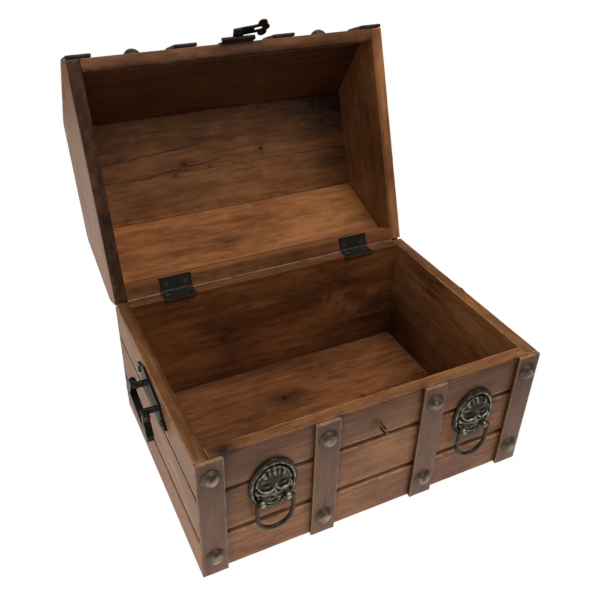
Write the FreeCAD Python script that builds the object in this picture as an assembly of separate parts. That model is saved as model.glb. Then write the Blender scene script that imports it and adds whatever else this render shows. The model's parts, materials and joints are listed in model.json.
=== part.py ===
import FreeCAD, Part
import os
from math import hypot

# Dome-lidded wooden chest with dark wooden straps, lion ring pulls, side handles and a hasp.
# Units are millimetres. Origin: centre of the underside. +X right, +Y back, +Z up.
# The lid is modelled closed and then turned about the hinge pins to its open stop.

# ---------------------------------------------------------------- driving dimensions
CASE_WIDTH = 300.0
CASE_DEPTH = 208.0
CASE_HEIGHT = 121.0
BOARD = 11.0                # thickness of the case boards
FLOOR = 10.4                # thickness of the floor board

RIM_GAP = 0.7               # space between case rim and closed lid
LID_RAIL_THICKNESS = 11.4
LID_RAIL_HEIGHT = 28.0      # upright part of the lid's side
LID_HEIGHT = 91.0           # rim to the flat top
LID_TOP_HALF_DEPTH = 55.0
LID_PANEL = 12.0            # thickness of the sloping and top boards
LID_SEAM_Y = 8.0            # joint between the two top boards
LID_OPEN_ANGLE = 110.0

STRAP_WIDTH = 21.4
STRAP_THICKNESS = 3.5
STRAP_INNER_X = 47.3        # centre line of the two inner straps
HINGE_STRAP_SETBACK = 4.7   # straps stop short of the hinge line, and nearly meet there when open

GROOVE_HEIGHTS = (39.0, 84.0)
GROOVE_WIDTH = 4.4
SIDE_GROOVE_WIDTH = 3.0
GROOVE_DEPTH = 2.2

NAIL_HEAD_RADIUS = 7.8
NAIL_HEAD_HEIGHT = 5.4
NAIL_SHANK_RADIUS = 1.4
NAIL_SHANK_LENGTH = 11.0
CASE_NAIL_HEIGHTS = (20.5, 105.0)
LID_BAY_NAIL_X = 91.0
LID_BAY_NAIL_HEIGHT = 19.0  # above the lid rim

HOLE_CLEARANCE = 0.06       # radial, round every nail, screw and pin

HINGE_X = 93.0
HINGE_WIDTH = 31.0
HINGE_LEAF = 0.55           # leaf thickness
HINGE_RECESS = 0.25         # how deep each leaf is let into the wood
HINGE_LEAF_DEPTH = 13.5     # from the inner edge of the leaf to the back face of the case
HINGE_KNUCKLE_RADIUS = 1.4
HINGE_PIN_RADIUS = 0.75
HINGE_PIN_OFFSET = 0.2      # pin centre behind the back face
HINGE_KNUCKLES = 5
KNUCKLE_GAP = 0.25
HINGE_RELIEF = 0.35         # space round each barrel, cut into the boards
HINGE_SCREW_X = 9.8         # from the hinge's middle
HINGE_SCREW_HEAD_RADIUS = 1.9
HINGE_SCREW_SHANK_RADIUS = 0.85
HINGE_SCREW_LENGTH = 8.0

HASP_X = 1.0
HASP_PLATE_WIDTH = 31.0
HASP_PLATE_HEIGHT = 19.0
HASP_PLATE_THICKNESS = 1.2
HASP_BARREL_RADIUS = 2.1
HASP_BARREL_OFFSET = 2.5    # barrel centre in front of the lid's rail
HASP_BARREL_DROP = 3.0      # barrel centre below the lid rim
HASP_FRONT_CLEARANCE = 0.4  # between the plate's lower edge and the case front
HASP_PIN_RADIUS = 0.9
HASP_LINK_WIDTH = 9.0
HASP_LINK_LENGTH = 5.0      # barrel centre to the rivet
HASP_LINK_THICKNESS = 1.0
HASP_LINK_OFFSET = 1.4      # inner face of the link's tongue in front of the barrel centre
HASP_RIVET_RADIUS = 1.1
HASP_LEAF_WIDTH = 9.4
HASP_LEAF_THICKNESS = 1.2
HASP_LEAF_TAIL = 5.0        # square end behind the rivet
HASP_LEAF_NECK = 21.5       # rivet to the finial
HASP_SLOT_DISTANCE = 18.2   # rivet to the middle of the slot
HASP_SLOT_LENGTH = 7.8
HASP_SLOT_WIDTH = 3.6
HASP_LOBE_RADIUS = 4.4
HASP_LOBE_SPREAD = 5.6
HASP_TIP_DISTANCE = 25.4    # rivet to the middle of the end lobe
HASP_TIP_RADIUS = 3.7
HASP_RAISED_ANGLE = 34.0    # how far the link is lifted off its closed position
HASP_TURNED_ANGLE = 82.0    # how far the leaf is turned to the right on its rivet

STAPLE_HEIGHT = 95.5
STAPLE_SPACING = 4.6
STAPLE_REACH = 8.5
STAPLE_WIRE_RADIUS = 0.9

LION_X = 91.0
LION_Z = 76.0
LION_WIDTH = 39.0
LION_HEIGHT = 50.0
LION_PLATE_THICKNESS = 2.4
LION_HEAD_HEIGHT = 8.0
RING_PIVOT_Z = 63.0
RING_PIVOT_OFFSET = 6.0     # pivot in front of the board
RING_HALF_WIDTH = 14.6      # centre line of the wire
RING_WIRE_RADIUS = 1.8
RING_DROP = 15.0            # straight run below the pivot
RING_PIN_RADIUS = 1.2
RING_BOSS_RADIUS = 2.8
RING_BOSS_INNER = 8.6
RING_BOSS_OUTER = 12.4

HANDLE_Y = -5.5
HANDLE_Z = 103.3
HANDLE_TILT = 11.0          # the plate's front end sits lower than its back end
HANDLE_PLATE_LENGTH = 74.0
HANDLE_PLATE_HEIGHT = 23.0
HANDLE_PLATE_THICKNESS = 2.0
HANDLE_PIVOT_OFFSET = 11.0   # pivot outside the side board
HANDLE_EYE_RADIUS = 3.1
HANDLE_PIN_RADIUS = 1.3
HANDLE_LUG_INNER = 12.6
HANDLE_LUG_OUTER = 14.8
HANDLE_EYE_INNER = 15.2
HANDLE_EYE_OUTER = 20.2
BAIL_DROP = 21.5            # pivot to the bottom of the bail
BAIL_HALF_WIDTH = 29.0
BAIL_BAR_HEIGHT = 8.0
BAIL_THICKNESS = 6.0
BAIL_NECK = 5.0             # straight run of each arm below the pivot
HANDLE_SCREW_Y = 29.0       # from the handle's middle
HANDLE_SCREW_HEAD_RADIUS = 3.0
HANDLE_SCREW_HEAD_HEIGHT = 1.6
HANDLE_SCREW_SHANK_RADIUS = 1.2
HANDLE_SCREW_LENGTH = 10.0

# ---------------------------------------------------------------- derived positions
HALF_WIDTH = CASE_WIDTH / 2
HALF_DEPTH = CASE_DEPTH / 2
FRONT = -HALF_DEPTH
BACK = HALF_DEPTH
LID_RIM = CASE_HEIGHT + RIM_GAP
PIN_Y = BACK + HINGE_PIN_OFFSET
PIN_Z = CASE_HEIGHT + RIM_GAP / 2
STRAP_OUTER_X = HALF_WIDTH - STRAP_WIDTH / 2
STRAPS = {
    "left_corner": -STRAP_OUTER_X,
    "left": -STRAP_INNER_X,
    "right": STRAP_INNER_X,
    "right_corner": STRAP_OUTER_X,
}
SIDES = {"left": -1, "right": 1}
X_AXIS = FreeCAD.Vector(1, 0, 0)
Y_AXIS = FreeCAD.Vector(0, 1, 0)
Z_AXIS = FreeCAD.Vector(0, 0, 1)

os.makedirs("parts", exist_ok=True)


# ---------------------------------------------------------------- helpers
def vec(x, y, z):
    return FreeCAD.Vector(x, y, z)


def save(node, shape):
    """Write one sub-part; several separate solids go in as one compound."""
    shape.exportStep("parts/" + node + ".step")


def block(x0, x1, y0, y1, z0, z1):
    return Part.makeBox(x1 - x0, y1 - y0, z1 - z0, vec(x0, y0, z0))


def rod(start, axis, radius, length):
    return Part.makeCylinder(radius, length, start, axis)


def prism(points, direction):
    """A flat outline pushed along a direction."""
    face = Part.Face(Part.makePolygon(points + [points[0]]))
    return face.extrude(direction)


def lid_open(shape):
    """Turn a piece of the closed lid about the hinge pins to the open stop."""
    turned = shape.copy()
    turned.rotate(vec(0, PIN_Y, PIN_Z), X_AXIS, -LID_OPEN_ANGLE)
    return turned


def mirror_x(shape):
    return shape.mirror(vec(0, 0, 0), X_AXIS)


def domed_nail(base, outward):
    """Upholstery-style nail: a spherical cap on a round shank, head sitting at base."""
    sphere_radius = (NAIL_HEAD_RADIUS ** 2 + NAIL_HEAD_HEIGHT ** 2) / (2 * NAIL_HEAD_HEIGHT)
    centre = base + outward * (NAIL_HEAD_HEIGHT - sphere_radius)
    ball = Part.makeSphere(sphere_radius, centre)
    keep = rod(base, outward, sphere_radius * 1.2, sphere_radius * 2)
    head = ball.common(keep)
    shank = rod(base - outward * NAIL_SHANK_LENGTH, outward, NAIL_SHANK_RADIUS, NAIL_SHANK_LENGTH)
    return head.fuse(shank).removeSplitter()


def nail_hole(base, outward):
    depth = NAIL_SHANK_LENGTH + HOLE_CLEARANCE
    return rod(base - outward * depth, outward, NAIL_SHANK_RADIUS + HOLE_CLEARANCE, depth + 1)


# ---------------------------------------------------------------- nail places
def case_nail_bases(face_y):
    """Strap nails on the front or back of the case, at each strap's foot and head."""
    return [vec(x, face_y, z) for x in STRAPS.values() for z in CASE_NAIL_HEIGHTS]


FRONT_NAILS = case_nail_bases(FRONT - STRAP_THICKNESS)
BACK_NAILS = case_nail_bases(BACK + STRAP_THICKNESS)


# ---------------------------------------------------------------- case boards
def grooves_along_x(face_y):
    cuts = []
    for z in GROOVE_HEIGHTS:
        cuts.append(block(-HALF_WIDTH, HALF_WIDTH, face_y - GROOVE_DEPTH, face_y + GROOVE_DEPTH,
                          z - GROOVE_WIDTH / 2, z + GROOVE_WIDTH / 2))
    return cuts


def grooves_along_y(face_x):
    cuts = []
    for z in GROOVE_HEIGHTS:
        cuts.append(block(face_x - GROOVE_DEPTH, face_x + GROOVE_DEPTH, FRONT - 1, BACK + 1,
                          z - SIDE_GROOVE_WIDTH / 2, z + SIDE_GROOVE_WIDTH / 2))
    return cuts


def hinge_screw_points():
    """Screw centres of both hinges in plan; the leaf's middle lies inside the board."""
    y = BACK - BOARD / 2 - 0.6
    return [vec(side * HINGE_X + step * HINGE_SCREW_X, y, 0) for side in (-1, 1) for step in (-1, 1)]


def hinge_screw(top, inward):
    """Countersunk screw whose flat head ends at top; inward points into the wood."""
    cone_depth = HINGE_SCREW_HEAD_RADIUS - HINGE_SCREW_SHANK_RADIUS
    cone = Part.makeCone(HINGE_SCREW_HEAD_RADIUS, HINGE_SCREW_SHANK_RADIUS, cone_depth, top, inward)
    shank = rod(top, inward, HINGE_SCREW_SHANK_RADIUS, HINGE_SCREW_LENGTH)
    return cone.fuse(shank)


def hinge_screw_hole(top, inward):
    cone_depth = HINGE_SCREW_HEAD_RADIUS - HINGE_SCREW_SHANK_RADIUS
    wide = HINGE_SCREW_HEAD_RADIUS + HOLE_CLEARANCE
    narrow = HINGE_SCREW_SHANK_RADIUS + HOLE_CLEARANCE
    cone = Part.makeCone(wide, narrow, cone_depth, top, inward)
    shank = rod(top - inward, inward, narrow, HINGE_SCREW_LENGTH + 1 + HOLE_CLEARANCE)
    mouth = rod(top - inward * 0.5, inward, wide, 0.5)
    return cone.fuse(shank).fuse(mouth)


CASE_LEAF_BOTTOM = CASE_HEIGHT - HINGE_RECESS
LID_LEAF_BOTTOM = LID_RIM + HINGE_RECESS - HINGE_LEAF
CASE_SCREW_TOPS = [p + vec(0, 0, CASE_LEAF_BOTTOM + HINGE_LEAF) for p in hinge_screw_points()]
LID_SCREW_TOPS = [p + vec(0, 0, LID_LEAF_BOTTOM) for p in hinge_screw_points()]


def hinge_pockets(z0):
    """Shallow seats for both hinges' leaves, with a round relief along each barrel."""
    pockets = []
    for side in (-1, 1):
        x0 = side * HINGE_X - HINGE_WIDTH / 2 - HOLE_CLEARANCE
        x1 = side * HINGE_X + HINGE_WIDTH / 2 + HOLE_CLEARANCE
        inner_y = BACK - HINGE_LEAF_DEPTH - HOLE_CLEARANCE
        pockets.append(block(x0, x1, inner_y, BACK + 1, z0, z0 + HINGE_LEAF))
        relief = HINGE_KNUCKLE_RADIUS + HINGE_RELIEF
        pockets.append(rod(vec(x0, PIN_Y, PIN_Z), X_AXIS, relief, x1 - x0))
    return pockets


def front_board():
    inner = HALF_WIDTH - BOARD
    board = block(-inner, inner, FRONT, FRONT + BOARD, 0, CASE_HEIGHT)
    cuts = grooves_along_x(FRONT)
    cuts += [nail_hole(p, -Y_AXIS) for p in FRONT_NAILS]
    cuts += [staple_leg(z, HOLE_CLEARANCE) for z in staple_leg_heights()]
    cuts += [lion_nail_hole(x, z) for x, z in lion_nail_places()]
    return board.cut(cuts)


def back_board():
    inner = HALF_WIDTH - BOARD
    board = block(-inner, inner, BACK - BOARD, BACK, 0, CASE_HEIGHT)
    cuts = grooves_along_x(BACK)
    cuts += [nail_hole(p, Y_AXIS) for p in BACK_NAILS]
    cuts += [hinge_screw_hole(p, -Z_AXIS) for p in CASE_SCREW_TOPS]
    cuts += hinge_pockets(CASE_LEAF_BOTTOM)
    return board.cut(cuts)


def side_board(side):
    """Side boards run the full depth; front and back boards stand between them."""
    face_x = side * HALF_WIDTH
    x0, x1 = sorted((face_x, side * (HALF_WIDTH - BOARD)))
    board = block(x0, x1, FRONT, BACK, 0, CASE_HEIGHT)
    cuts = grooves_along_y(face_x)
    cuts += [nail_hole(p, -Y_AXIS) for p in FRONT_NAILS]
    cuts += [nail_hole(p, Y_AXIS) for p in BACK_NAILS]
    cuts += [tilt_handle(handle_screw_hole(side, y)) for y in handle_screw_places()]
    return board.cut(cuts)


def floor_board():
    inner_x = HALF_WIDTH - BOARD
    inner_y = HALF_DEPTH - BOARD
    return block(-inner_x, inner_x, -inner_y, inner_y, 0, FLOOR)


# ---------------------------------------------------------------- case straps
def front_strap(x):
    strap = block(x - STRAP_WIDTH / 2, x + STRAP_WIDTH / 2, FRONT - STRAP_THICKNESS, FRONT, 0, CASE_HEIGHT)
    return strap.cut([nail_hole(p, -Y_AXIS) for p in FRONT_NAILS])


def back_strap(x):
    top = CASE_HEIGHT - HINGE_STRAP_SETBACK
    strap = block(x - STRAP_WIDTH / 2, x + STRAP_WIDTH / 2, BACK, BACK + STRAP_THICKNESS, 0, top)
    return strap.cut([nail_hole(p, Y_AXIS) for p in BACK_NAILS])


# ---------------------------------------------------------------- lid outline
# Corner points of the dome from the front rim, over the top, to the back rim, as (y, height above rim).
DOME = [
    (FRONT, 0.0),
    (FRONT, LID_RAIL_HEIGHT),
    (-LID_TOP_HALF_DEPTH, LID_HEIGHT),
    (LID_TOP_HALF_DEPTH, LID_HEIGHT),
    (BACK, LID_RAIL_HEIGHT),
    (BACK, 0.0),
]


def offset_dome(distances):
    """Move each of the five dome faces outwards by its distance; return the six corners."""
    lines = []
    for (y0, z0), (y1, z1), distance in zip(DOME[:-1], DOME[1:], distances):
        length = hypot(y1 - y0, z1 - z0)
        along = ((y1 - y0) / length, (z1 - z0) / length)
        outward = (-along[1], along[0])
        start = (y0 + outward[0] * distance, z0 + outward[1] * distance)
        lines.append((start, along))
    corners = [(lines[0][0][0], 0.0)]
    for (p, d), (q, e) in zip(lines[:-1], lines[1:]):
        cross = d[0] * e[1] - d[1] * e[0]
        t = ((q[0] - p[0]) * e[1] - (q[1] - p[1]) * e[0]) / cross
        corners.append((p[0] + d[0] * t, p[1] + d[1] * t))
    corners.append((lines[-1][0][0], 0.0))
    return corners


RAIL = LID_RAIL_THICKNESS
DOME_INSIDE = offset_dome([-RAIL, -LID_PANEL, -LID_PANEL, -LID_PANEL, -RAIL])
DOME_STRAPPED = offset_dome([STRAP_THICKNESS] * 5)


def lid_section(corner_pairs, x0, x1):
    """A closed outline of (y, height above rim) corners, pushed from x0 to x1."""
    points = [vec(x0, y, LID_RIM + z) for y, z in corner_pairs]
    return prism(points, vec(x1 - x0, 0, 0))


def dome_slab(index, inner, outer, x0, x1):
    """The part of the shell under one dome face, mitred against its neighbours."""
    return lid_section([outer[index], outer[index + 1], inner[index + 1], inner[index]], x0, x1)


def slope_middle(index):
    """Middle of a sloping face at the strap surface, with the face's outward direction."""
    (y0, z0), (y1, z1) = DOME_STRAPPED[index], DOME_STRAPPED[index + 1]
    length = hypot(y1 - y0, z1 - z0)
    outward = vec(0, -(z1 - z0) / length, (y1 - y0) / length)
    return (y0 + y1) / 2, LID_RIM + (z0 + z1) / 2, outward


def lid_strap_nail_places():
    """One nail in each strap on the front slope and one on the back slope."""
    places = []
    for index in (1, 3):
        y, z, outward = slope_middle(index)
        places += [(vec(x, y, z), outward) for x in STRAPS.values()]
    return places


LID_STRAP_NAILS = lid_strap_nail_places()
LID_BAY_NAILS = [(vec(side * LID_BAY_NAIL_X, FRONT, LID_RIM + LID_BAY_NAIL_HEIGHT), -Y_AXIS)
                 for side in (-1, 1)]


def lid_board(index):
    inner = HALF_WIDTH - RAIL
    slab = dome_slab(index, DOME_INSIDE, DOME, -inner, inner)
    cuts = [nail_hole(p, outward) for p, outward in LID_STRAP_NAILS]
    if index == 0:
        cuts += [nail_hole(p, outward) for p, outward in LID_BAY_NAILS]
        cuts += [hasp_screw_hole(x, z) for x, z in hasp_screw_places()]
    if index == 4:
        cuts += [hinge_screw_hole(p, Z_AXIS) for p in LID_SCREW_TOPS]
        cuts += hinge_pockets(LID_LEAF_BOTTOM)
    return slab.cut(cuts)


def lid_top_boards():
    """The flat top is two boards glued along one seam."""
    slab = lid_board(2)
    low, high = LID_RIM, LID_RIM + LID_HEIGHT + 1
    front = slab.common(block(-HALF_WIDTH, HALF_WIDTH, FRONT, LID_SEAM_Y, low, high))
    rear = slab.common(block(-HALF_WIDTH, HALF_WIDTH, LID_SEAM_Y, BACK, low, high))
    return front, rear


def lid_end(side):
    """End panels carry the whole dome outline; the boards stand between them."""
    x0, x1 = sorted((side * HALF_WIDTH, side * (HALF_WIDTH - RAIL)))
    panel = lid_section(DOME, x0, x1)
    return panel.cut([nail_hole(p, outward) for p, outward in LID_STRAP_NAILS])


def lid_strap(x):
    """Five mitred strips over the dome; the last stops short of the hinge line."""
    strips = [dome_slab(index, DOME, DOME_STRAPPED, x - STRAP_WIDTH / 2, x + STRAP_WIDTH / 2)
              for index in range(5)]
    strips[4] = strips[4].cut(block(-HALF_WIDTH, HALF_WIDTH, 0, BACK + 2 * STRAP_THICKNESS,
                                    LID_RIM - 1, LID_RIM + HINGE_STRAP_SETBACK))
    holes = Part.makeCompound([nail_hole(p, outward) for p, outward in LID_STRAP_NAILS])
    return Part.makeCompound([strip.cut(holes) for strip in strips])


# ---------------------------------------------------------------- hinges
def knuckle_spans(parity):
    """X spans, from the hinge's middle, of every second knuckle."""
    pitch = HINGE_WIDTH / HINGE_KNUCKLES
    start = -HINGE_WIDTH / 2
    return [(start + i * pitch + KNUCKLE_GAP / 2, start + (i + 1) * pitch - KNUCKLE_GAP / 2)
            for i in range(HINGE_KNUCKLES) if i % 2 == parity]


def hinge_leaf(x, z0, parity, screw_tops, inward):
    """A flat leaf with its knuckles; the other leaf's knuckles get a clear bay each."""
    half = HINGE_WIDTH / 2
    plate = block(x - half, x + half, BACK - HINGE_LEAF_DEPTH, PIN_Y, z0, z0 + HINGE_LEAF)
    bay_radius = HINGE_KNUCKLE_RADIUS + KNUCKLE_GAP
    for x0, x1 in knuckle_spans(1 - parity):
        start = vec(x + x0 - KNUCKLE_GAP, PIN_Y, PIN_Z)
        plate = plate.cut(rod(start, X_AXIS, bay_radius, x1 - x0 + 2 * KNUCKLE_GAP))
    for x0, x1 in knuckle_spans(parity):
        plate = plate.fuse(rod(vec(x + x0, PIN_Y, PIN_Z), X_AXIS, HINGE_KNUCKLE_RADIUS, x1 - x0))
    bore = rod(vec(x - half - 1, PIN_Y, PIN_Z), X_AXIS, HINGE_PIN_RADIUS + HOLE_CLEARANCE, HINGE_WIDTH + 2)
    cuts = [bore] + [hinge_screw_hole(p, inward) for p in screw_tops]
    return plate.cut(cuts).removeSplitter()


def hinge_pin(x):
    half = HINGE_WIDTH / 2
    return rod(vec(x - half, PIN_Y, PIN_Z), X_AXIS, HINGE_PIN_RADIUS, HINGE_WIDTH)


# ---------------------------------------------------------------- hasp and staple
HASP_AXIS_Y = FRONT - HASP_BARREL_OFFSET
HASP_AXIS_Z = LID_RIM - HASP_BARREL_DROP
HASP_LINK_Y = HASP_AXIS_Y - HASP_LINK_OFFSET                        # inner face of the tongue
HASP_LEAF_Y = HASP_LINK_Y - HASP_LINK_THICKNESS - 0.05              # inner face of the leaf
HASP_RIVET_Z = HASP_AXIS_Z - HASP_LINK_LENGTH


def hasp_screw_places():
    z = HASP_AXIS_Z + HASP_PLATE_HEIGHT * 0.62
    return [(HASP_X - 10.0, z), (HASP_X + 10.0, z)]


def hasp_screw_hole(x, z):
    start = vec(x, FRONT - 3, z)
    return rod(start, Y_AXIS, 1.0 + HOLE_CLEARANCE, 3 + 8.0 + HOLE_CLEARANCE)


def hasp_screw(x, z):
    face = vec(x, FRONT - HASP_PLATE_THICKNESS, z)
    head = Part.makeCone(2.4, 1.6, 0.9, face, -Y_AXIS)
    return head.fuse(rod(face, Y_AXIS, 1.0, HASP_PLATE_THICKNESS + 8.0))


def hasp_bore():
    start = vec(HASP_X - HASP_PLATE_WIDTH, HASP_AXIS_Y, HASP_AXIS_Z)
    return rod(start, X_AXIS, HASP_PIN_RADIUS + HOLE_CLEARANCE, 2 * HASP_PLATE_WIDTH)


def hasp_plate():
    half = HASP_PLATE_WIDTH / 2
    back_y, face_y = FRONT, FRONT - HASP_PLATE_THICKNESS
    top = HASP_AXIS_Z + HASP_PLATE_HEIGHT
    points = [vec(HASP_X - half, back_y, HASP_AXIS_Z), vec(HASP_X + half, back_y, HASP_AXIS_Z),
              vec(HASP_X + half, back_y, top - 5), vec(HASP_X + half - 5, back_y, top),
              vec(HASP_X - half + 5, back_y, top), vec(HASP_X - half, back_y, top - 5)]
    plate = prism(points, vec(0, face_y - back_y, 0))
    inner = HASP_LINK_WIDTH / 2 + KNUCKLE_GAP
    bay = block(HASP_X - inner, HASP_X + inner, FRONT - 6, FRONT,
                HASP_AXIS_Z - 3, HASP_AXIS_Z + HASP_BARREL_RADIUS + 0.6)
    knuckles = []
    for x0, x1 in ((-half, -inner), (inner, half)):
        start = vec(HASP_X + x0, HASP_AXIS_Y, HASP_AXIS_Z)
        knuckles.append(rod(start, X_AXIS, HASP_BARREL_RADIUS, x1 - x0))
    cuts = [hasp_bore()] + [hasp_screw_hole(x, z) for x, z in hasp_screw_places()]
    relief = block(HASP_X - half, HASP_X + half, FRONT - HASP_FRONT_CLEARANCE, FRONT + 1,
                   HASP_AXIS_Z - 1, LID_RIM + 0.2)
    return plate.cut([bay, relief]).fuse(knuckles).cut(cuts).removeSplitter()


def raise_hasp(shape):
    """Lift a piece of the hanging hasp about the barrel to where it rests."""
    raised = shape.copy()
    raised.rotate(vec(0, HASP_AXIS_Y, HASP_AXIS_Z), X_AXIS, -HASP_RAISED_ANGLE)
    return raised


def hasp_link():
    """Short tongue on its own knuckle, which carries the leaf's rivet."""
    half = HASP_LINK_WIDTH / 2
    tongue = block(HASP_X - half, HASP_X + half, HASP_LINK_Y - HASP_LINK_THICKNESS, HASP_LINK_Y,
                   HASP_RIVET_Z, HASP_AXIS_Z)
    knuckle = rod(vec(HASP_X - half, HASP_AXIS_Y, HASP_AXIS_Z), X_AXIS, HASP_BARREL_RADIUS, HASP_LINK_WIDTH)
    rivet_face = vec(HASP_X, HASP_LINK_Y, HASP_RIVET_Z)
    end = rod(rivet_face, -Y_AXIS, half, HASP_LINK_THICKNESS)
    hole = rod(rivet_face, -Y_AXIS, HASP_RIVET_RADIUS + HOLE_CLEARANCE, HASP_LINK_THICKNESS)
    link = tongue.fuse([knuckle, end]).cut([hole, hasp_bore()]).removeSplitter()
    return raise_hasp(link)


def hasp_rivet():
    """Rivet through tongue and leaf, with a low head over the leaf."""
    start = vec(HASP_X, HASP_LINK_Y, HASP_RIVET_Z)
    grip = HASP_LINK_Y - HASP_LEAF_Y + HASP_LEAF_THICKNESS + 0.05
    shank = rod(start, -Y_AXIS, HASP_RIVET_RADIUS, grip)
    head = Part.makeCone(2.3, 1.5, 0.8, start - Y_AXIS * grip, -Y_AXIS)
    return raise_hasp(shank.fuse(head).removeSplitter())


def hasp_leaf():
    """Slotted leaf with a three-lobed finial, turned aside on its rivet."""
    half = HASP_LEAF_WIDTH / 2
    pivot = vec(HASP_X, HASP_LEAF_Y, HASP_RIVET_Z)
    blade = block(HASP_X - half, HASP_X + half, HASP_LEAF_Y - HASP_LEAF_THICKNESS, HASP_LEAF_Y,
                  HASP_RIVET_Z - HASP_LEAF_NECK, HASP_RIVET_Z + HASP_LEAF_TAIL)
    lobes = [(-HASP_LOBE_SPREAD, HASP_LEAF_NECK + 0.8, HASP_LOBE_RADIUS),
             (HASP_LOBE_SPREAD, HASP_LEAF_NECK + 0.8, HASP_LOBE_RADIUS),
             (0, HASP_TIP_DISTANCE, HASP_TIP_RADIUS)]
    discs = [rod(pivot + vec(x, 0, -drop), -Y_AXIS, radius, HASP_LEAF_THICKNESS) for x, drop, radius in lobes]
    straight = HASP_SLOT_LENGTH - HASP_SLOT_WIDTH
    slot_z = HASP_RIVET_Z - HASP_SLOT_DISTANCE
    cuts = [block(HASP_X - HASP_SLOT_WIDTH / 2, HASP_X + HASP_SLOT_WIDTH / 2,
                  HASP_LEAF_Y - 2 * HASP_LEAF_THICKNESS, HASP_LEAF_Y + 1,
                  slot_z - straight / 2, slot_z + straight / 2)]
    for z in (slot_z - straight / 2, slot_z + straight / 2):
        cuts.append(rod(vec(HASP_X, HASP_LEAF_Y + 1, z), -Y_AXIS, HASP_SLOT_WIDTH / 2, 4))
    cuts.append(rod(pivot + Y_AXIS, -Y_AXIS, HASP_RIVET_RADIUS + HOLE_CLEARANCE, 4))
    leaf = blade.fuse(discs).cut(cuts).removeSplitter()
    leaf.rotate(pivot, Y_AXIS, -HASP_TURNED_ANGLE)
    return raise_hasp(leaf)


def hasp_pin():
    half = HASP_PLATE_WIDTH / 2
    return rod(vec(HASP_X - half, HASP_AXIS_Y, HASP_AXIS_Z), X_AXIS, HASP_PIN_RADIUS, HASP_PLATE_WIDTH)


def staple_leg_heights():
    return [STAPLE_HEIGHT - STAPLE_SPACING / 2, STAPLE_HEIGHT + STAPLE_SPACING / 2]


def staple_leg(z, clearance=0.0):
    """One leg of the staple, from inside the front board out to where its bend starts."""
    reach = STAPLE_REACH - STAPLE_SPACING / 2
    start = vec(HASP_X, FRONT + 8.0 + clearance, z)
    return rod(start, -Y_AXIS, STAPLE_WIRE_RADIUS + clearance, 8.0 + clearance + reach)


def lock_staple():
    """Wire loop standing out of the front board, one leg above the other."""
    bend_y = FRONT - (STAPLE_REACH - STAPLE_SPACING / 2)
    bend = Part.makeTorus(STAPLE_SPACING / 2, STAPLE_WIRE_RADIUS, vec(HASP_X, bend_y, STAPLE_HEIGHT), X_AXIS)
    outer_half = block(HASP_X - 5, HASP_X + 5, bend_y - 10, bend_y, STAPLE_HEIGHT - 10, STAPLE_HEIGHT + 10)
    shape = bend.common(outer_half)
    for z in staple_leg_heights():
        shape = shape.fuse(staple_leg(z))
    return shape.removeSplitter()


# ---------------------------------------------------------------- lion ring pulls
def lion_nail_places():
    """Pins at the crown and chin of each plate."""
    half = LION_HEIGHT / 2 - 4.0
    return [(side * LION_X, LION_Z + step * half) for side in (-1, 1) for step in (-1, 1)]


def lion_nail_hole(x, z):
    start = vec(x, FRONT - 4, z)
    return rod(start, Y_AXIS, 0.9 + HOLE_CLEARANCE, 4 + 8.0 + HOLE_CLEARANCE)


def lion_nail(x, z):
    face = vec(x, FRONT - LION_PLATE_THICKNESS, z)
    head = Part.makeCone(1.8, 1.1, 0.7, face, -Y_AXIS)
    return head.fuse(rod(face, Y_AXIS, 0.9, LION_PLATE_THICKNESS + 8.0))


def squashed_ball(centre, half_x, half_y, half_z):
    ball = Part.makeSphere(1.0)
    stretch = FreeCAD.Matrix()
    stretch.scale(half_x, half_y, half_z)
    stretched = ball.transformGeometry(stretch)
    stretched.translate(centre)
    return stretched


def lion_plate(side):
    """Oval back plate with a raised face and two drilled bosses for the ring's ends."""
    x = side * LION_X
    ellipse = Part.Ellipse(vec(0, 0, 0), LION_HEIGHT / 2, LION_WIDTH / 2)
    outline = Part.Wire(ellipse.toShape())
    plate = Part.Face(outline).extrude(vec(0, 0, LION_PLATE_THICKNESS))
    plate.rotate(vec(0, 0, 0), Z_AXIS, 90)
    plate.rotate(vec(0, 0, 0), X_AXIS, 90)
    plate.translate(vec(x, FRONT, LION_Z))
    face = squashed_ball(vec(x, FRONT, LION_Z + 2), 12.0, LION_HEAD_HEIGHT, 15.0)
    muzzle = squashed_ball(vec(x, FRONT - 2, LION_Z - 9), 7.2, LION_HEAD_HEIGHT - 0.5, 8.0)
    behind = block(x - 30, x + 30, FRONT, FRONT + 20, LION_Z - 40, LION_Z + 40)
    shape = plate.fuse([face.cut(behind), muzzle.cut(behind)])
    pivot_y = FRONT - RING_PIVOT_OFFSET
    for hand in (-1, 1):
        start = vec(x + hand * RING_BOSS_INNER, pivot_y, RING_PIVOT_Z)
        length = RING_BOSS_OUTER - RING_BOSS_INNER
        boss = rod(start, X_AXIS * hand, RING_BOSS_RADIUS, length)
        foot_x0, foot_x1 = sorted((x + hand * RING_BOSS_INNER, x + hand * RING_BOSS_OUTER))
        foot = block(foot_x0, foot_x1, pivot_y, FRONT, RING_PIVOT_Z - 2.0, RING_PIVOT_Z + 2.0)
        shape = shape.fuse([boss, foot])
    socket = []
    for hand in (-1, 1):
        start = vec(x + hand * (RING_BOSS_INNER - 0.2), pivot_y, RING_PIVOT_Z)
        socket.append(rod(start, X_AXIS * hand, RING_PIN_RADIUS + HOLE_CLEARANCE, RING_BOSS_OUTER))
    socket += [lion_nail_hole(nx, nz) for nx, nz in lion_nail_places()]
    return shape.cut(socket).removeSplitter()


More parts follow.
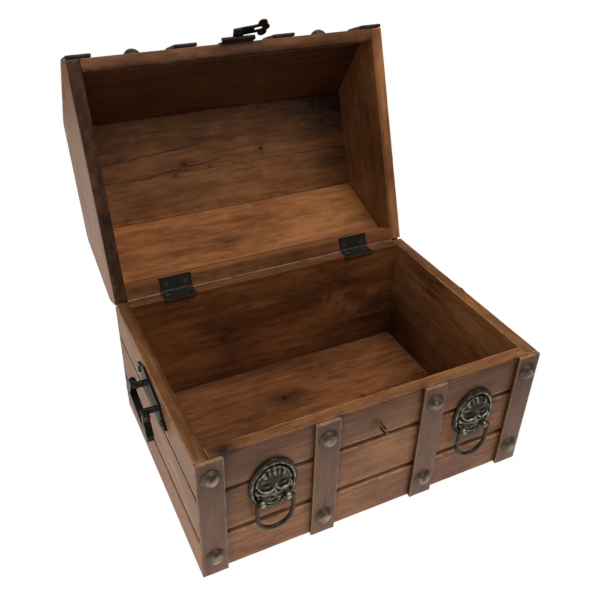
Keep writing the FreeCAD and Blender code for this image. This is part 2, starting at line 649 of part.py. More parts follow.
def pull_ring(side):
    """U-shaped wire ring: two straight arms, a round bottom and two inturned ends."""
    x = side * LION_X
    y = FRONT - RING_PIVOT_OFFSET
    bottom_z = RING_PIVOT_Z - RING_DROP
    half = RING_HALF_WIDTH
    bend = Part.makeTorus(half, RING_WIRE_RADIUS, vec(x, y, bottom_z), Y_AXIS)
    lower = block(x - 30, x + 30, y - 10, y + 10, bottom_z - 30, bottom_z)
    shape = bend.common(lower)
    for hand in (-1, 1):
        arm_x = x + hand * half
        shape = shape.fuse(rod(vec(arm_x, y, bottom_z), Z_AXIS, RING_WIRE_RADIUS, RING_DROP))
        shape = shape.fuse(Part.makeSphere(RING_WIRE_RADIUS, vec(arm_x, y, RING_PIVOT_Z)))
        length = half - RING_BOSS_INNER - 0.4
        shape = shape.fuse(rod(vec(arm_x, y, RING_PIVOT_Z), X_AXIS * -hand, RING_PIN_RADIUS, length))
    return shape.removeSplitter()


# ---------------------------------------------------------------- side handles (built on the left)
HANDLE_FACE_X = -HALF_WIDTH
HANDLE_AXIS_X = HANDLE_FACE_X - HANDLE_PIVOT_OFFSET


def tilt_handle(shape):
    """Turn a level-built piece of the left handle to the handle's slight slope."""
    tilted = shape.copy()
    tilted.rotate(vec(0, HANDLE_Y, HANDLE_Z), X_AXIS, HANDLE_TILT)
    return tilted


def handle_screw_places():
    return [HANDLE_Y - HANDLE_SCREW_Y, HANDLE_Y + HANDLE_SCREW_Y]


def handle_screw_hole(side, y):
    """Hole at a screw place of the level-built handle."""
    start = vec(side * (HALF_WIDTH + 4), y, HANDLE_Z)
    depth = 4 + HANDLE_SCREW_LENGTH - HANDLE_PLATE_THICKNESS + HOLE_CLEARANCE
    return rod(start, X_AXIS * -side, HANDLE_SCREW_SHANK_RADIUS + HOLE_CLEARANCE, depth)


def handle_plate():
    """Pointed back plate with two drilled lugs."""
    half = HANDLE_PLATE_LENGTH / 2
    rise = HANDLE_PLATE_HEIGHT / 2
    outline = [(-half, 0), (-half * 0.72, rise * 0.55), (-half * 0.55, rise), (half * 0.55, rise),
               (half * 0.72, rise * 0.55), (half, 0), (half * 0.72, -rise * 0.55),
               (half * 0.55, -rise), (-half * 0.55, -rise), (-half * 0.72, -rise * 0.55)]
    points = [vec(HANDLE_FACE_X, HANDLE_Y + y, HANDLE_Z + z) for y, z in outline]
    plate = prism(points, vec(-HANDLE_PLATE_THICKNESS, 0, 0))
    lugs = []
    for y0, y1 in ((-HANDLE_LUG_OUTER, -HANDLE_LUG_INNER), (HANDLE_LUG_INNER, HANDLE_LUG_OUTER)):
        start = vec(HANDLE_AXIS_X, HANDLE_Y + y0, HANDLE_Z)
        lugs.append(rod(start, Y_AXIS, HANDLE_EYE_RADIUS, y1 - y0))
        lugs.append(block(HANDLE_AXIS_X, HANDLE_FACE_X, HANDLE_Y + y0, HANDLE_Y + y1,
                          HANDLE_Z - HANDLE_EYE_RADIUS, HANDLE_Z + HANDLE_EYE_RADIUS))
    bore = rod(vec(HANDLE_AXIS_X, HANDLE_Y - 40, HANDLE_Z), Y_AXIS, HANDLE_PIN_RADIUS + HOLE_CLEARANCE, 80)
    cuts = [bore] + [handle_screw_hole(-1, y) for y in handle_screw_places()]
    return plate.fuse(lugs).cut(cuts).removeSplitter()


def bail_handle():
    """Flat cast bail: two eyes, two arms that spread, and a broad bar with pointed corners."""
    x0 = HANDLE_AXIS_X - BAIL_THICKNESS / 2
    bottom = HANDLE_Z - BAIL_DROP
    bar_top = bottom + BAIL_BAR_HEIGHT
    outer = BAIL_HALF_WIDTH
    neck = HANDLE_Z - BAIL_NECK
    half_outline = [(HANDLE_EYE_INNER, HANDLE_Z), (HANDLE_EYE_OUTER, HANDLE_Z), (HANDLE_EYE_OUTER, neck),
                    (outer, bar_top), (outer, bottom + 2.5), (outer - 3, bottom), (outer - 9, bottom + 1.0)]
    inner_outline = [(HANDLE_EYE_OUTER - 1.5, bar_top), (HANDLE_EYE_INNER, neck)]
    outline = half_outline + [(-y, z) for y, z in reversed(half_outline)]
    outline += [(-y, z) for y, z in reversed(inner_outline)] + inner_outline
    points = [vec(x0, HANDLE_Y + y, z) for y, z in outline]
    bail = prism(points, vec(BAIL_THICKNESS, 0, 0))
    for y0 in (-HANDLE_EYE_OUTER, HANDLE_EYE_INNER):
        start = vec(HANDLE_AXIS_X, HANDLE_Y + y0, HANDLE_Z)
        bail = bail.fuse(rod(start, Y_AXIS, HANDLE_EYE_RADIUS, HANDLE_EYE_OUTER - HANDLE_EYE_INNER))
    bore = rod(vec(HANDLE_AXIS_X, HANDLE_Y - 40, HANDLE_Z), Y_AXIS, HANDLE_PIN_RADIUS + HOLE_CLEARANCE, 80)
    return bail.cut(bore).removeSplitter()


def handle_pins():
    """One rivet through each lug and eye, with a low head outside the eye."""
    pins = []
    for hand in (-1, 1):
        direction = Y_AXIS * hand
        inner = vec(HANDLE_AXIS_X, HANDLE_Y + hand * (HANDLE_LUG_INNER - 0.8), HANDLE_Z)
        shaft = rod(inner, direction, HANDLE_PIN_RADIUS, HANDLE_EYE_OUTER - HANDLE_LUG_INNER + 1.2)
        head = rod(vec(HANDLE_AXIS_X, HANDLE_Y + hand * (HANDLE_EYE_OUTER + 0.4), HANDLE_Z),
                   direction, HANDLE_PIN_RADIUS + 1.0, 1.0)
        pins.append(shaft.fuse(head).removeSplitter())
    return Part.makeCompound(pins)


def handle_screws():
    screws = []
    for y in handle_screw_places():
        face = vec(HANDLE_FACE_X - HANDLE_PLATE_THICKNESS, y, HANDLE_Z)
        head = Part.makeCone(HANDLE_SCREW_HEAD_RADIUS, HANDLE_SCREW_HEAD_RADIUS * 0.6,
                             HANDLE_SCREW_HEAD_HEIGHT, face, -X_AXIS)
        screws.append(head.fuse(rod(face, X_AXIS, HANDLE_SCREW_SHANK_RADIUS, HANDLE_SCREW_LENGTH)))
    return Part.makeCompound(screws)


# ---------------------------------------------------------------- write the case
save("front_board", front_board())
save("back_board", back_board())
save("floor_board", floor_board())
for name, side in SIDES.items():
    save(name + "_side_board", side_board(side))
for name, x in STRAPS.items():
    save("front_strap_" + name, front_strap(x))
    save("back_strap_" + name, back_strap(x))
save("front_strap_nails", Part.makeCompound([domed_nail(p, -Y_AXIS) for p in FRONT_NAILS]))
save("back_strap_nails", Part.makeCompound([domed_nail(p, Y_AXIS) for p in BACK_NAILS]))
save("lock_staple", lock_staple())
save("lion_plate_nails", Part.makeCompound([lion_nail(x, z) for x, z in lion_nail_places()]))
for name, side in SIDES.items():
    save(name + "_lion_plate", lion_plate(side))
    save(name + "_pull_ring", pull_ring(side))

# ---------------------------------------------------------------- write the side handles
handle_pieces = {
    "handle_plate": tilt_handle(handle_plate()),
    "bail_handle": tilt_handle(bail_handle()),
    "handle_pins": tilt_handle(handle_pins()),
    "handle_screws": tilt_handle(handle_screws()),
}
for piece, shape in handle_pieces.items():
    save("left_" + piece, shape)
    save("right_" + piece, mirror_x(shape))

# ---------------------------------------------------------------- write the hinges
for name, side in SIDES.items():
    x = side * HINGE_X
    save(name + "_hinge_case_leaf", hinge_leaf(x, CASE_LEAF_BOTTOM, 0, CASE_SCREW_TOPS, -Z_AXIS))
    save(name + "_hinge_lid_leaf", lid_open(hinge_leaf(x, LID_LEAF_BOTTOM, 1, LID_SCREW_TOPS, Z_AXIS)))
    save(name + "_hinge_pin", hinge_pin(x))
save("case_hinge_screws", Part.makeCompound([hinge_screw(p, -Z_AXIS) for p in CASE_SCREW_TOPS]))
save("lid_hinge_screws", lid_open(Part.makeCompound([hinge_screw(p, Z_AXIS) for p in LID_SCREW_TOPS])))

# ---------------------------------------------------------------- write the lid
save("lid_front_rail", lid_open(lid_board(0)))
save("lid_front_slope", lid_open(lid_board(1)))
top_front, top_rear = lid_top_boards()
save("lid_top_front_board", lid_open(top_front))
save("lid_top_rear_board", lid_open(top_rear))
save("lid_back_slope", lid_open(lid_board(3)))
save("lid_back_rail", lid_open(lid_board(4)))
for name, side in SIDES.items():
    save("lid_" + name + "_end", lid_open(lid_end(side)))
for name, x in STRAPS.items():
    save("lid_strap_" + name, lid_open(lid_strap(x)))
save("lid_strap_nails", lid_open(Part.makeCompound([domed_nail(p, d) for p, d in LID_STRAP_NAILS])))
save("lid_bay_nails", lid_open(Part.makeCompound([domed_nail(p, d) for p, d in LID_BAY_NAILS])))
save("hasp_plate", lid_open(hasp_plate()))
save("hasp_link", lid_open(hasp_link()))
save("hasp_rivet", lid_open(hasp_rivet()))
save("hasp_leaf", lid_open(hasp_leaf()))
save("hasp_pin", lid_open(hasp_pin()))
save("hasp_screws", lid_open(Part.makeCompound([hasp_screw(x, z) for x, z in hasp_screw_places()])))
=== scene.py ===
import json
import math
import random

import bmesh
import bpy
from mathutils import Matrix, Vector, noise


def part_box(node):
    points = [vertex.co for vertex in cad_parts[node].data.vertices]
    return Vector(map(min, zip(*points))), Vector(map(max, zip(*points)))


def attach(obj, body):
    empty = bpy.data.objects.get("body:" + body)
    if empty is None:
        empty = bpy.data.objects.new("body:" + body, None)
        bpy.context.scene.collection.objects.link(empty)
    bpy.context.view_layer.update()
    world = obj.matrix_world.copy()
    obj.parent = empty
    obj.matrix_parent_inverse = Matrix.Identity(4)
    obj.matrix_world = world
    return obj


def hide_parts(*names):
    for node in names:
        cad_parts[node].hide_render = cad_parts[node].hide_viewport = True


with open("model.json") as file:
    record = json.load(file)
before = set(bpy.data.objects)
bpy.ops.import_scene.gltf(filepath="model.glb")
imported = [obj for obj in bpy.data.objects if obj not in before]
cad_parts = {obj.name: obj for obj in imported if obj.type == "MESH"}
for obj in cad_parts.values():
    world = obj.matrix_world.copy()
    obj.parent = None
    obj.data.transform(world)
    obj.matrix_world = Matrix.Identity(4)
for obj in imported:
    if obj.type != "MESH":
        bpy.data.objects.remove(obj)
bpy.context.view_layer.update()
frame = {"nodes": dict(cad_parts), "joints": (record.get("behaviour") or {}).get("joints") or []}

# Lengths in this script are millimetres until a mesh is finished, then metres.
MM = 0.001
RAIL = 11.4  # thickness of the lid rails and lid ends
PANEL = 12.0  # thickness of the lid slopes and top
STRAP = 3.5  # thickness of the straps
GROOVE_HEIGHTS = (39.0, 84.0)
GROOVE_DEPTH = 2.2
GROOVE_TAPER = 0.4  # how much narrower a groove is at its bottom, on each side
FRONT_GROOVE = 4.4  # groove width on the front and back boards
SIDE_GROOVE = 3.0  # groove width on the side boards
LID_SEAM_Y = 8.0  # seam between the two boards of the lid's top, with the lid closed
HINGE_GAP_LIP = 0.25  # how far the lid's back rail reaches down, which closes the hinge gap
RIM_LIP = 0.3  # how far the back board's rim reaches out and up, for the same reason
NAIL_HEIGHTS = (20.5, 105.0)
NAIL_RADIUS = 7.8
NAIL_HEIGHT = 5.4
CELL = 6.0  # size of the cells that a wooden surface is cut into
EDGE_CELL = 1.6  # distance of the first cut from each end of a board
FAR = 900.0  # radius of a stain along an axis where it doesn't fade

TO_FRONT, TO_BACK = Vector((0, -1, 0)), Vector((0, 1, 0))
TO_RIGHT, UP = Vector((1, 0, 0)), Vector((0, 0, 1))


# ---- places from the frame
def box(node):
    """Lowest and highest corner of a node at rest, in millimetres."""
    low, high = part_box(node)
    return low / MM, high / MM


def corners(points):
    """Lowest and highest corner of a cloud of points."""
    points = list(points)
    return (Vector(min(p[i] for p in points) for i in range(3)),
            Vector(max(p[i] for p in points) for i in range(3)))


JOINT_PLACES = {joint["child"]: Vector(joint["pos_m"]) / MM for joint in frame["joints"]}
OPEN = math.radians(next(j for j in frame["joints"] if j["name"] == "lid_hinge")["range_deg"][1])


def lid_turn(angle):
    """Turn about the lid's hinge line."""
    away = Matrix.Translation(JOINT_PLACES["lid"])
    return away @ Matrix.Rotation(angle, 4, "X") @ away.inverted()


# The lid's pieces are built closed and then turned to the open rest state.
LID_TO_OPEN = lid_turn(-OPEN)
LID_TO_CLOSED = lid_turn(OPEN)


def to_rest(mesh, body):
    """Turn a mesh of the closed lid to its place at rest."""
    if body == "lid":
        mesh.transform(LID_TO_OPEN)


def closed_points(node):
    """Corner points of a lid node with the lid turned back to closed."""
    return [LID_TO_CLOSED @ (v.co / MM) for v in frame["nodes"][node].data.vertices]


def closed_box(node):
    """Lowest and highest corner of a lid node with the lid turned back to closed."""
    return corners(closed_points(node))


# ---- mesh helpers
def layered(source=None):
    """A mesh, empty or a copy in millimetres, with the layers that the metals read."""
    mesh = bmesh.new()
    if source:
        mesh.from_mesh(source)
        for vert in mesh.verts:
            vert.co /= MM
    mesh.verts.layers.float.new("wear")
    mesh.verts.layers.float.new("hollow")
    return mesh


def metal_layers(mesh):
    """The layers that layered() made."""
    return mesh.verts.layers.float["wear"], mesh.verts.layers.float["hollow"]


def cut_cells(mesh, spacing, border):
    """Cut the mesh with flat planes along each axis: close to both ends, then at an even spacing."""
    for axis in range(3):
        low = min(v.co[axis] for v in mesh.verts)
        high = max(v.co[axis] for v in mesh.verts)
        normal = Vector((0, 0, 0))
        normal[axis] = 1.0
        span = high - low
        count = max(1, round(span / spacing))
        places = [low + span * i / count for i in range(1, count)]
        if span > 4 * border:
            places += [low + border, high - border]
        for place in places:
            geometry = mesh.verts[:] + mesh.edges[:] + mesh.faces[:]
            bmesh.ops.bisect_plane(mesh, geom=geometry, plane_co=normal * place, plane_no=normal,
                                   dist=0.005)


def prism(mesh, outline, start, stop):
    """A closed outline in local X and Y, pushed along local Z."""
    lower = [mesh.verts.new((a, b, start)) for a, b in outline]
    upper = [mesh.verts.new((a, b, stop)) for a, b in outline]
    mesh.faces.new(lower[::-1])
    mesh.faces.new(upper)
    join_rings(mesh, [lower, upper])
    bmesh.ops.recalc_face_normals(mesh, faces=mesh.faces[:])


def circle(count):
    """Evenly spaced angles round a full turn."""
    return [2 * math.pi * i / count for i in range(count)]


def join_rings(mesh, rings):
    """Faces between neighbouring rings of points."""
    for lower, upper in zip(rings[:-1], rings[1:]):
        for i in range(len(lower)):
            j = (i + 1) % len(lower)
            mesh.faces.new((lower[i], lower[j], upper[j], upper[i]))


def join_point(mesh, ring, point):
    """Faces from a ring of points to one point."""
    for i in range(len(ring)):
        mesh.faces.new((ring[i], ring[(i + 1) % len(ring)], point))


def round_edges(mesh, radius, segments, spacing, border, sharpest=25.0):
    """Round every sharp edge, cut the mesh into small cells and mark the rounding in the wear layer."""
    wear = mesh.verts.layers.float["wear"]
    rounded_faces = mesh.faces.layers.int.new("rounded")
    edges = [e for e in mesh.edges
             if len(e.link_faces) == 2 and e.calc_face_angle(0.0) > math.radians(sharpest)]
    made = bmesh.ops.bevel(mesh, geom=edges, offset=radius, offset_type="OFFSET", segments=segments,
                           profile=0.6, affect="EDGES", clamp_overlap=True)
    for face in made["faces"]:
        face[rounded_faces] = 1
    cut_cells(mesh, spacing, border)
    for face in mesh.faces:
        if face[rounded_faces]:
            for vert in face.verts:
                vert[wear] = 1.0


def new_object(name, data):
    """A scene object for a mesh, lamp or camera."""
    made = bpy.data.objects.new(name, data)
    bpy.context.scene.collection.objects.link(made)
    return made


def mesh_data(mesh, name):
    """Turn a bmesh into mesh data and free it."""
    data = bpy.data.meshes.new(name)
    mesh.to_mesh(data)
    mesh.free()
    return data


def finish_mesh(mesh, name, body, nodes, material, smooth=40.0):
    """Turn a bmesh in millimetres into a piece that rides on a body."""
    for vert in mesh.verts:
        vert.co *= MM
    data = mesh_data(mesh, name)
    data.shade_smooth()
    data.set_sharp_from_angle(angle=math.radians(smooth))
    data.materials.append(material)
    piece = new_object(name, data)
    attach(piece, body)
    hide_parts(*nodes)
    return piece


# ---- shader helpers
class Shader:
    """A small wrapper for building a node material."""

    def __init__(self, name):
        self.material = bpy.data.materials.new(name)
        self.material.use_nodes = True
        self.tree = self.material.node_tree
        self.surface = self.tree.nodes["Principled BSDF"]

    def add(self, kind, inputs, **settings):
        """A new node; inputs are numbers, colours or sockets of other nodes."""
        node = self.tree.nodes.new(kind)
        for key, value in settings.items():
            setattr(node, key, value)
        for key, value in inputs.items():
            self.set(node.inputs[key], value)
        return node

    def set(self, socket, value):
        if isinstance(value, bpy.types.NodeSocket):
            self.tree.links.new(value, socket)
        else:
            socket.default_value = value

    def paint(self, **values):
        """Set inputs of the surface; an underscore in a keyword stands for a space."""
        for key, value in values.items():
            self.set(self.surface.inputs[key.replace("_", " ")], value)

    def attribute(self, name, part="Fac"):
        return self.add("ShaderNodeAttribute", {}, attribute_name=name).outputs[part]

    def place(self):
        """Coordinates of the piece, in metres."""
        return self.add("ShaderNodeTexCoord", {}).outputs["Object"]

    def vectors(self, operation, a, b=(0.0, 0.0, 0.0), output=0):
        return self.add("ShaderNodeVectorMath", {0: a, 1: b}, operation=operation).outputs[output]

    def scaled(self, vector, scale):
        return self.vectors("MULTIPLY", vector, scale)

    def moved(self, vector, offset):
        return self.vectors("ADD", vector, offset)

    def length(self, vector):
        return self.vectors("LENGTH", vector, output="Value")

    def noise(self, vector, scale=1.0, detail=3.0, rough=0.55, bend=0.0):
        made = self.add("ShaderNodeTexNoise", {"Vector": vector, "Scale": scale, "Detail": detail,
                                               "Roughness": rough, "Distortion": bend})
        return made.outputs["Fac"]

    def grained(self, vector, lengthwise, crosswise, **settings):
        """Noise that is stretched along the board."""
        return self.noise(self.scaled(vector, (lengthwise, crosswise, crosswise)), **settings)

    def math(self, operation, a, b, clamp=False):
        node = self.add("ShaderNodeMath", {0: a, 1: b}, operation=operation, use_clamp=clamp)
        return node.outputs[0]

    def times(self, a, b, clamp=False):
        return self.math("MULTIPLY", a, b, clamp)

    def plus(self, first, *others):
        for other in others:
            first = self.math("ADD", first, other)
        return first

    def remap(self, value, low, high, to_low=0.0, to_high=1.0):
        made = self.add("ShaderNodeMapRange", {"Value": value, "From Min": low, "From Max": high,
                                               "To Min": to_low, "To Max": to_high}, clamp=True)
        return made.outputs["Result"]

    def swing(self, value, amount, low=0.3, high=0.7):
        """The value's range low to high, as minus to plus the amount."""
        return self.remap(value, low, high, -amount, amount)

    def mix(self, amount, a, b):
        return self.add("ShaderNodeMix", {0: amount, 6: a, 7: b}, data_type="RGBA").outputs[2]

    def bump(self, height, strength, distance):
        made = self.add("ShaderNodeBump", {"Height": height, "Strength": strength, "Distance": distance})
        return made.outputs["Normal"]


def rgb(red, green, blue):
    """An sRGB colour, 0 to 255, as linear RGBA."""
    def linear(value):
        value /= 255.0
        return value / 12.92 if value <= 0.04045 else ((value + 0.055) / 1.055) ** 2.4
    return (linear(red), linear(green), linear(blue), 1.0)


def knot(s, place, centre, radius):
    """Darkness of a knot: a small core inside a softer ring."""
    local = s.moved(place, tuple(-c * MM for c in centre))
    swirl = s.noise(local, scale=160.0, detail=2.0)
    away = s.plus(s.math("DIVIDE", s.length(local), radius * MM), s.swing(swirl, 0.45))
    core = s.remap(away, 0.3, 1.0, 1.0, 0.0)
    halo = s.remap(away, 0.8, 3.4, 0.42, 0.0)
    return s.math("MAXIMUM", core, halo)


def crack(s, place, start, stop, width):
    """Darkness of a thin crack that wanders between two points of a flat surface."""
    begin, end = Vector(start) * MM, Vector(stop) * MM
    length = (end - begin).length
    along = tuple((end - begin).normalized())
    local = s.moved(place, tuple(-begin))
    run = s.vectors("DOT_PRODUCT", local, along, "Value")
    foot = s.add("ShaderNodeVectorMath", {0: along, 3: run}, operation="SCALE").outputs[0]
    wander = s.swing(s.noise(local, scale=55.0, detail=3.0), 2.2 * MM)
    away = s.moved(s.vectors("SUBTRACT", local, foot),
                   s.add("ShaderNodeCombineXYZ", {"Z": wander}).outputs[0])
    line = s.remap(s.length(away), 0.3 * width * MM, width * MM, 0.8, 0.0)
    ends = s.times(s.remap(run, 0.0, 0.1 * length), s.remap(run, 0.8 * length, length, 1.0, 0.0))
    return s.times(line, ends)


def burl(s, place, centre, radius):
    """Curly figure round a point: how much lighter or darker it makes the wood there."""
    local = s.moved(place, tuple(-c * MM for c in centre))
    ragged = s.noise(local, scale=70.0, detail=3.0, rough=0.6)
    away = s.plus(s.math("DIVIDE", s.length(local), radius * MM), s.swing(ragged, 0.5))
    waves = s.noise(local, scale=34.0, detail=3.0, rough=0.6, bend=1.2)
    curls = s.math("PINGPONG", s.times(waves, 6.0), 1.0)
    return s.times(s.remap(away, 0.2, 1.1, 1.0, 0.0), s.remap(curls, 0.0, 1.0, -0.18, 0.52))


# Colour of the wood's stains, knots and cracks, and of the painted shade on it.
STAIN_AND_SHADE_COLOUR = rgb(22, 11, 6)


def wood(name, dark, middle, light, worn, figure=0.5, coat=0.12, knots=(), cracks=(), burls=()):
    """Stained, satin-varnished hardwood; the grain layer holds metres along and across the board."""
    s = Shader(name)
    place = s.place()
    grain = s.attribute("grain", "Vector")
    wear = s.attribute("wear")
    stain_and_shade = s.attribute("stain_and_shade")

    sway = s.grained(grain, 7.0, 20.0, detail=2.0)
    bend = s.scaled(s.add("ShaderNodeCombineXYZ", {"Y": sway, "Z": sway}).outputs[0], (0.0, 0.012, 0.006))
    bent = s.moved(grain, bend)
    rings = s.times(s.grained(bent, 2.6, 34.0, detail=1.0, rough=0.4), 11.0)
    rings = s.math("POWER", s.math("PINGPONG", rings, 1.0), 1.6)
    streaks = s.grained(bent, 13.0, 120.0, detail=3.0, rough=0.66)
    flame = s.grained(grain, 26.0, 230.0, detail=2.0, rough=0.6, bend=0.5)
    fibres = s.grained(grain, 26.0, 480.0, detail=2.0, rough=0.6)
    clouds = s.grained(grain, 11.0, 20.0, detail=2.0, rough=0.5, bend=0.4)
    mottle = s.grained(grain, 60.0, 150.0, detail=3.0, rough=0.6, bend=0.6)
    tone = s.plus(s.times(s.swing(rings, 0.5, 0.0, 1.0), 0.26 * figure),
                  s.swing(streaks, 0.10), s.swing(flame, 0.08), s.swing(fibres, 0.13),
                  s.swing(clouds, 0.24, 0.28, 0.72), s.swing(mottle, 0.14),
                  *(burl(s, place, centre, radius) for centre, radius in burls))
    colour = s.mix(s.remap(tone, -0.5, 0.02), dark, middle)
    colour = s.mix(s.remap(tone, 0.0, 0.5), colour, light)

    chips = s.grained(grain, 110.0, 260.0, detail=3.0, rough=0.7)
    rubbed = s.remap(s.plus(wear, s.remap(chips, 0.3, 0.7, -0.55, 0.30)), 0.45, 0.95)
    rubbed = s.times(rubbed, s.remap(stain_and_shade, 0.15, 0.7, 0.85, 0.0))
    colour = s.mix(rubbed, colour, worn)

    breakup = s.remap(s.grained(grain, 120.0, 200.0, detail=3.0), 0.25, 0.75, 0.8, 1.15)
    # Darkening from the stain layer, which holds real stains and painted shade, and from knots and cracks.
    dirt_and_shade = s.times(stain_and_shade, breakup, clamp=True)
    for centre, radius in knots:
        dirt_and_shade = s.math("MAXIMUM", dirt_and_shade, knot(s, place, centre, radius))
    for start, stop, width in cracks:
        dirt_and_shade = s.math("MAXIMUM", dirt_and_shade, crack(s, place, start, stop, width))

    height = s.plus(s.times(fibres, 0.5), s.times(streaks, 0.8))
    height = s.math("SUBTRACT", height, s.times(dirt_and_shade, 0.4))
    s.paint(Base_Color=s.mix(dirt_and_shade, colour, STAIN_AND_SHADE_COLOUR),
            Roughness=s.plus(s.remap(streaks, 0.2, 0.8, 0.32, 0.5), s.times(clouds, 0.1)),
            Normal=s.bump(height, 0.22, 0.0004),
            Specular_IOR_Level=0.42, Coat_Weight=coat, Coat_Roughness=0.3)
    return s.material


def metal(name, dark, bright, shine=0.45, rub=0.7, metallic=0.75):
    """Blackened metal that is rubbed bright where it stands proud and dirty in its hollows; on the lion masks
    the wear layer also holds a painted highlight.
    """
    s = Shader(name)
    place = s.place()
    wear = s.attribute("wear")
    hollow = s.attribute("hollow")
    coarse = s.noise(place, scale=270.0, detail=4.0, rough=0.6)
    fine = s.noise(place, scale=2160.0, detail=3.0, rough=0.65)
    patches = s.remap(s.noise(place, scale=108.0, detail=3.0), 0.35, 0.7)
    rubbed = s.times(s.remap(s.plus(wear, s.remap(coarse, 0.3, 0.7, -0.5, 0.35)), 0.35, 1.05), rub)
    colour = s.mix(s.times(patches, 0.45), dark, rgb(70, 55, 40))
    colour = s.mix(rubbed, colour, bright)
    colour = s.mix(s.times(s.remap(fine, 0.55, 0.75), 0.35), colour, rgb(24, 22, 18))
    colour = s.mix(s.times(hollow, 0.85), colour, rgb(12, 11, 9))
    rough = s.plus(s.remap(coarse, 0.25, 0.75, shine - 0.12, shine + 0.16), s.times(hollow, 0.25))
    height = s.plus(coarse, s.times(fine, 0.35))
    s.paint(Base_Color=colour, Roughness=rough, Normal=s.bump(height, 0.25, 0.0006), Metallic=metallic)
    return s.material


# Wood colours: dark grain, middle, light grain, worn edge. Places of knots and the like are at rest.
CASE_WOOD = wood("case_wood", rgb(92, 53, 26), rgb(160, 102, 57), rgb(202, 142, 87), rgb(232, 170, 108),
                 coat=0.05)
BACK_WOOD = wood("back_wood", rgb(62, 34, 17), rgb(130, 78, 41), rgb(176, 114, 66), rgb(204, 136, 80), 0.7,
                 knots=[((-54, 93, 58), 2.2)],
                 burls=[((69, 93, 72), 17.0), ((88, 93, 52), 14.0), ((110, 93, 68), 12.0)])
FLOOR_WOOD = wood("floor_wood", rgb(70, 39, 19), rgb(140, 86, 47), rgb(182, 120, 70), rgb(204, 136, 80), 0.55,
                  knots=[((-12, 41, 10.4), 5.2), ((-55, -20, 10.4), 1.6), ((60, 12, 10.4), 1.8)])
LID_WOOD = wood("lid_wood", rgb(88, 50, 24), rgb(164, 103, 57), rgb(206, 140, 80), rgb(212, 140, 82), 0.4)
LID_TOP_WOOD = wood("lid_top_wood", rgb(78, 46, 24), rgb(146, 94, 52), rgb(186, 128, 78), rgb(212, 140, 82),
                    knots=[((-44.5, 214.3, 191.8), 2.0), ((-55, 211.1, 183), 1.7),
                           ((-18.4, 212.2, 185.9), 1.3), ((39.7, 215.4, 194.8), 3.2)],
                    cracks=[((-128, 218.2, 202.4), (-21.3, 220.4, 208.6), 0.8),
                            ((-114.1, 211.3, 183.5), (25.4, 215.2, 194.4), 1.0)])
# A darker copy of the lid wood for the inside face of the front slope: painted shade.
LID_SHADED_WOOD = wood("lid_painted_shade_wood", rgb(42, 22, 11), rgb(88, 50, 27), rgb(118, 72, 41), rgb(184, 116, 68),
                     0.6)
STRAP_WOOD = wood("strap_wood", rgb(94, 64, 46), rgb(128, 89, 64), rgb(152, 111, 83), rgb(192, 146, 108),
                  0.12)

# Metal colours: blackened, rubbed bright.
NAIL_METAL = metal("nail_metal", rgb(108, 95, 80), rgb(222, 204, 176), shine=0.44, metallic=0.6)
PIN_METAL = metal("pin_metal", rgb(52, 52, 46), rgb(150, 146, 132), shine=0.38)
HINGE_METAL = metal("hinge_metal", rgb(50, 50, 44), rgb(132, 129, 116), shine=0.52, rub=0.5, metallic=0.6)
HASP_METAL = metal("hasp_metal", rgb(28, 28, 26), rgb(110, 108, 98), shine=0.42, rub=0.5)
STAPLE_METAL = metal("staple_metal", rgb(96, 88, 70), rgb(214, 206, 184), shine=0.3, rub=0.9)
LION_METAL = metal("lion_metal", rgb(70, 69, 60), rgb(206, 199, 178), shine=0.4, rub=0.85)
RING_METAL = metal("ring_metal", rgb(62, 62, 54), rgb(140, 136, 120), shine=0.4)
HANDLE_METAL = metal("handle_metal", rgb(44, 45, 40), rgb(122, 121, 110), shine=0.4, rub=0.55)


# ---- wooden pieces
def wood_layers(mesh, along, seed, turn):
    """Store where each point lies in its board (metres along and across the grain) and a seeded offset."""
    grain = mesh.verts.layers.float_vector.new("grain")
    mesh.verts.layers.float.new("stain_and_shade")
    chance = random.Random(seed)
    offset = Vector((chance.uniform(0, 9), chance.uniform(0, 9), chance.uniform(0, 9)))
    turned = Matrix.Rotation(turn, 3, "X")
    for vert in mesh.verts:
        place = turned @ vert.co
        others = [place[i] for i in range(3) if i != along]
        vert[grain] = Vector((place[along], others[0], others[1])) * MM + offset


def worn_surface(mesh, seed, amount):
    """Sink the surface unevenly by up to half a millimetre, most along the rounded edges."""
    wear = mesh.verts.layers.float["wear"]
    mesh.normal_update()
    shift = Vector((seed * 3.7, seed * 1.9, seed * 5.3))
    for vert in mesh.verts:
        wide = noise.noise(vert.co * 0.03 + shift) * 0.5 + 0.5
        small = noise.noise(vert.co * 0.22 + shift) * 0.5 + 0.5
        vert.co -= vert.normal * amount * (0.10 * wide + (0.05 + 0.30 * vert[wear]) * small)


def add_stains_and_shade(mesh, stains_and_shade):
    """Dark stains and painted shade: each one is a centre, a radius along each axis and a strength."""
    stain_and_shade = mesh.verts.layers.float["stain_and_shade"]
    for centre, radii, strength in stains_and_shade:
        for vert in mesh.verts:
            away = Vector((vert.co[i] - centre[i]) / radii[i] for i in range(3))
            vert[stain_and_shade] = min(1.0, vert[stain_and_shade] + strength * math.exp(-1.6 * away.length_squared))


# How a section's X, Y and length turn into X, Y, Z when the board runs along each axis.
RUNS_ALONG = (Matrix(((0, 0, 1), (1, 0, 0), (0, 1, 0))), Matrix(((1, 0, 0), (0, 0, 1), (0, 1, 0))),
              Matrix.Identity(3))


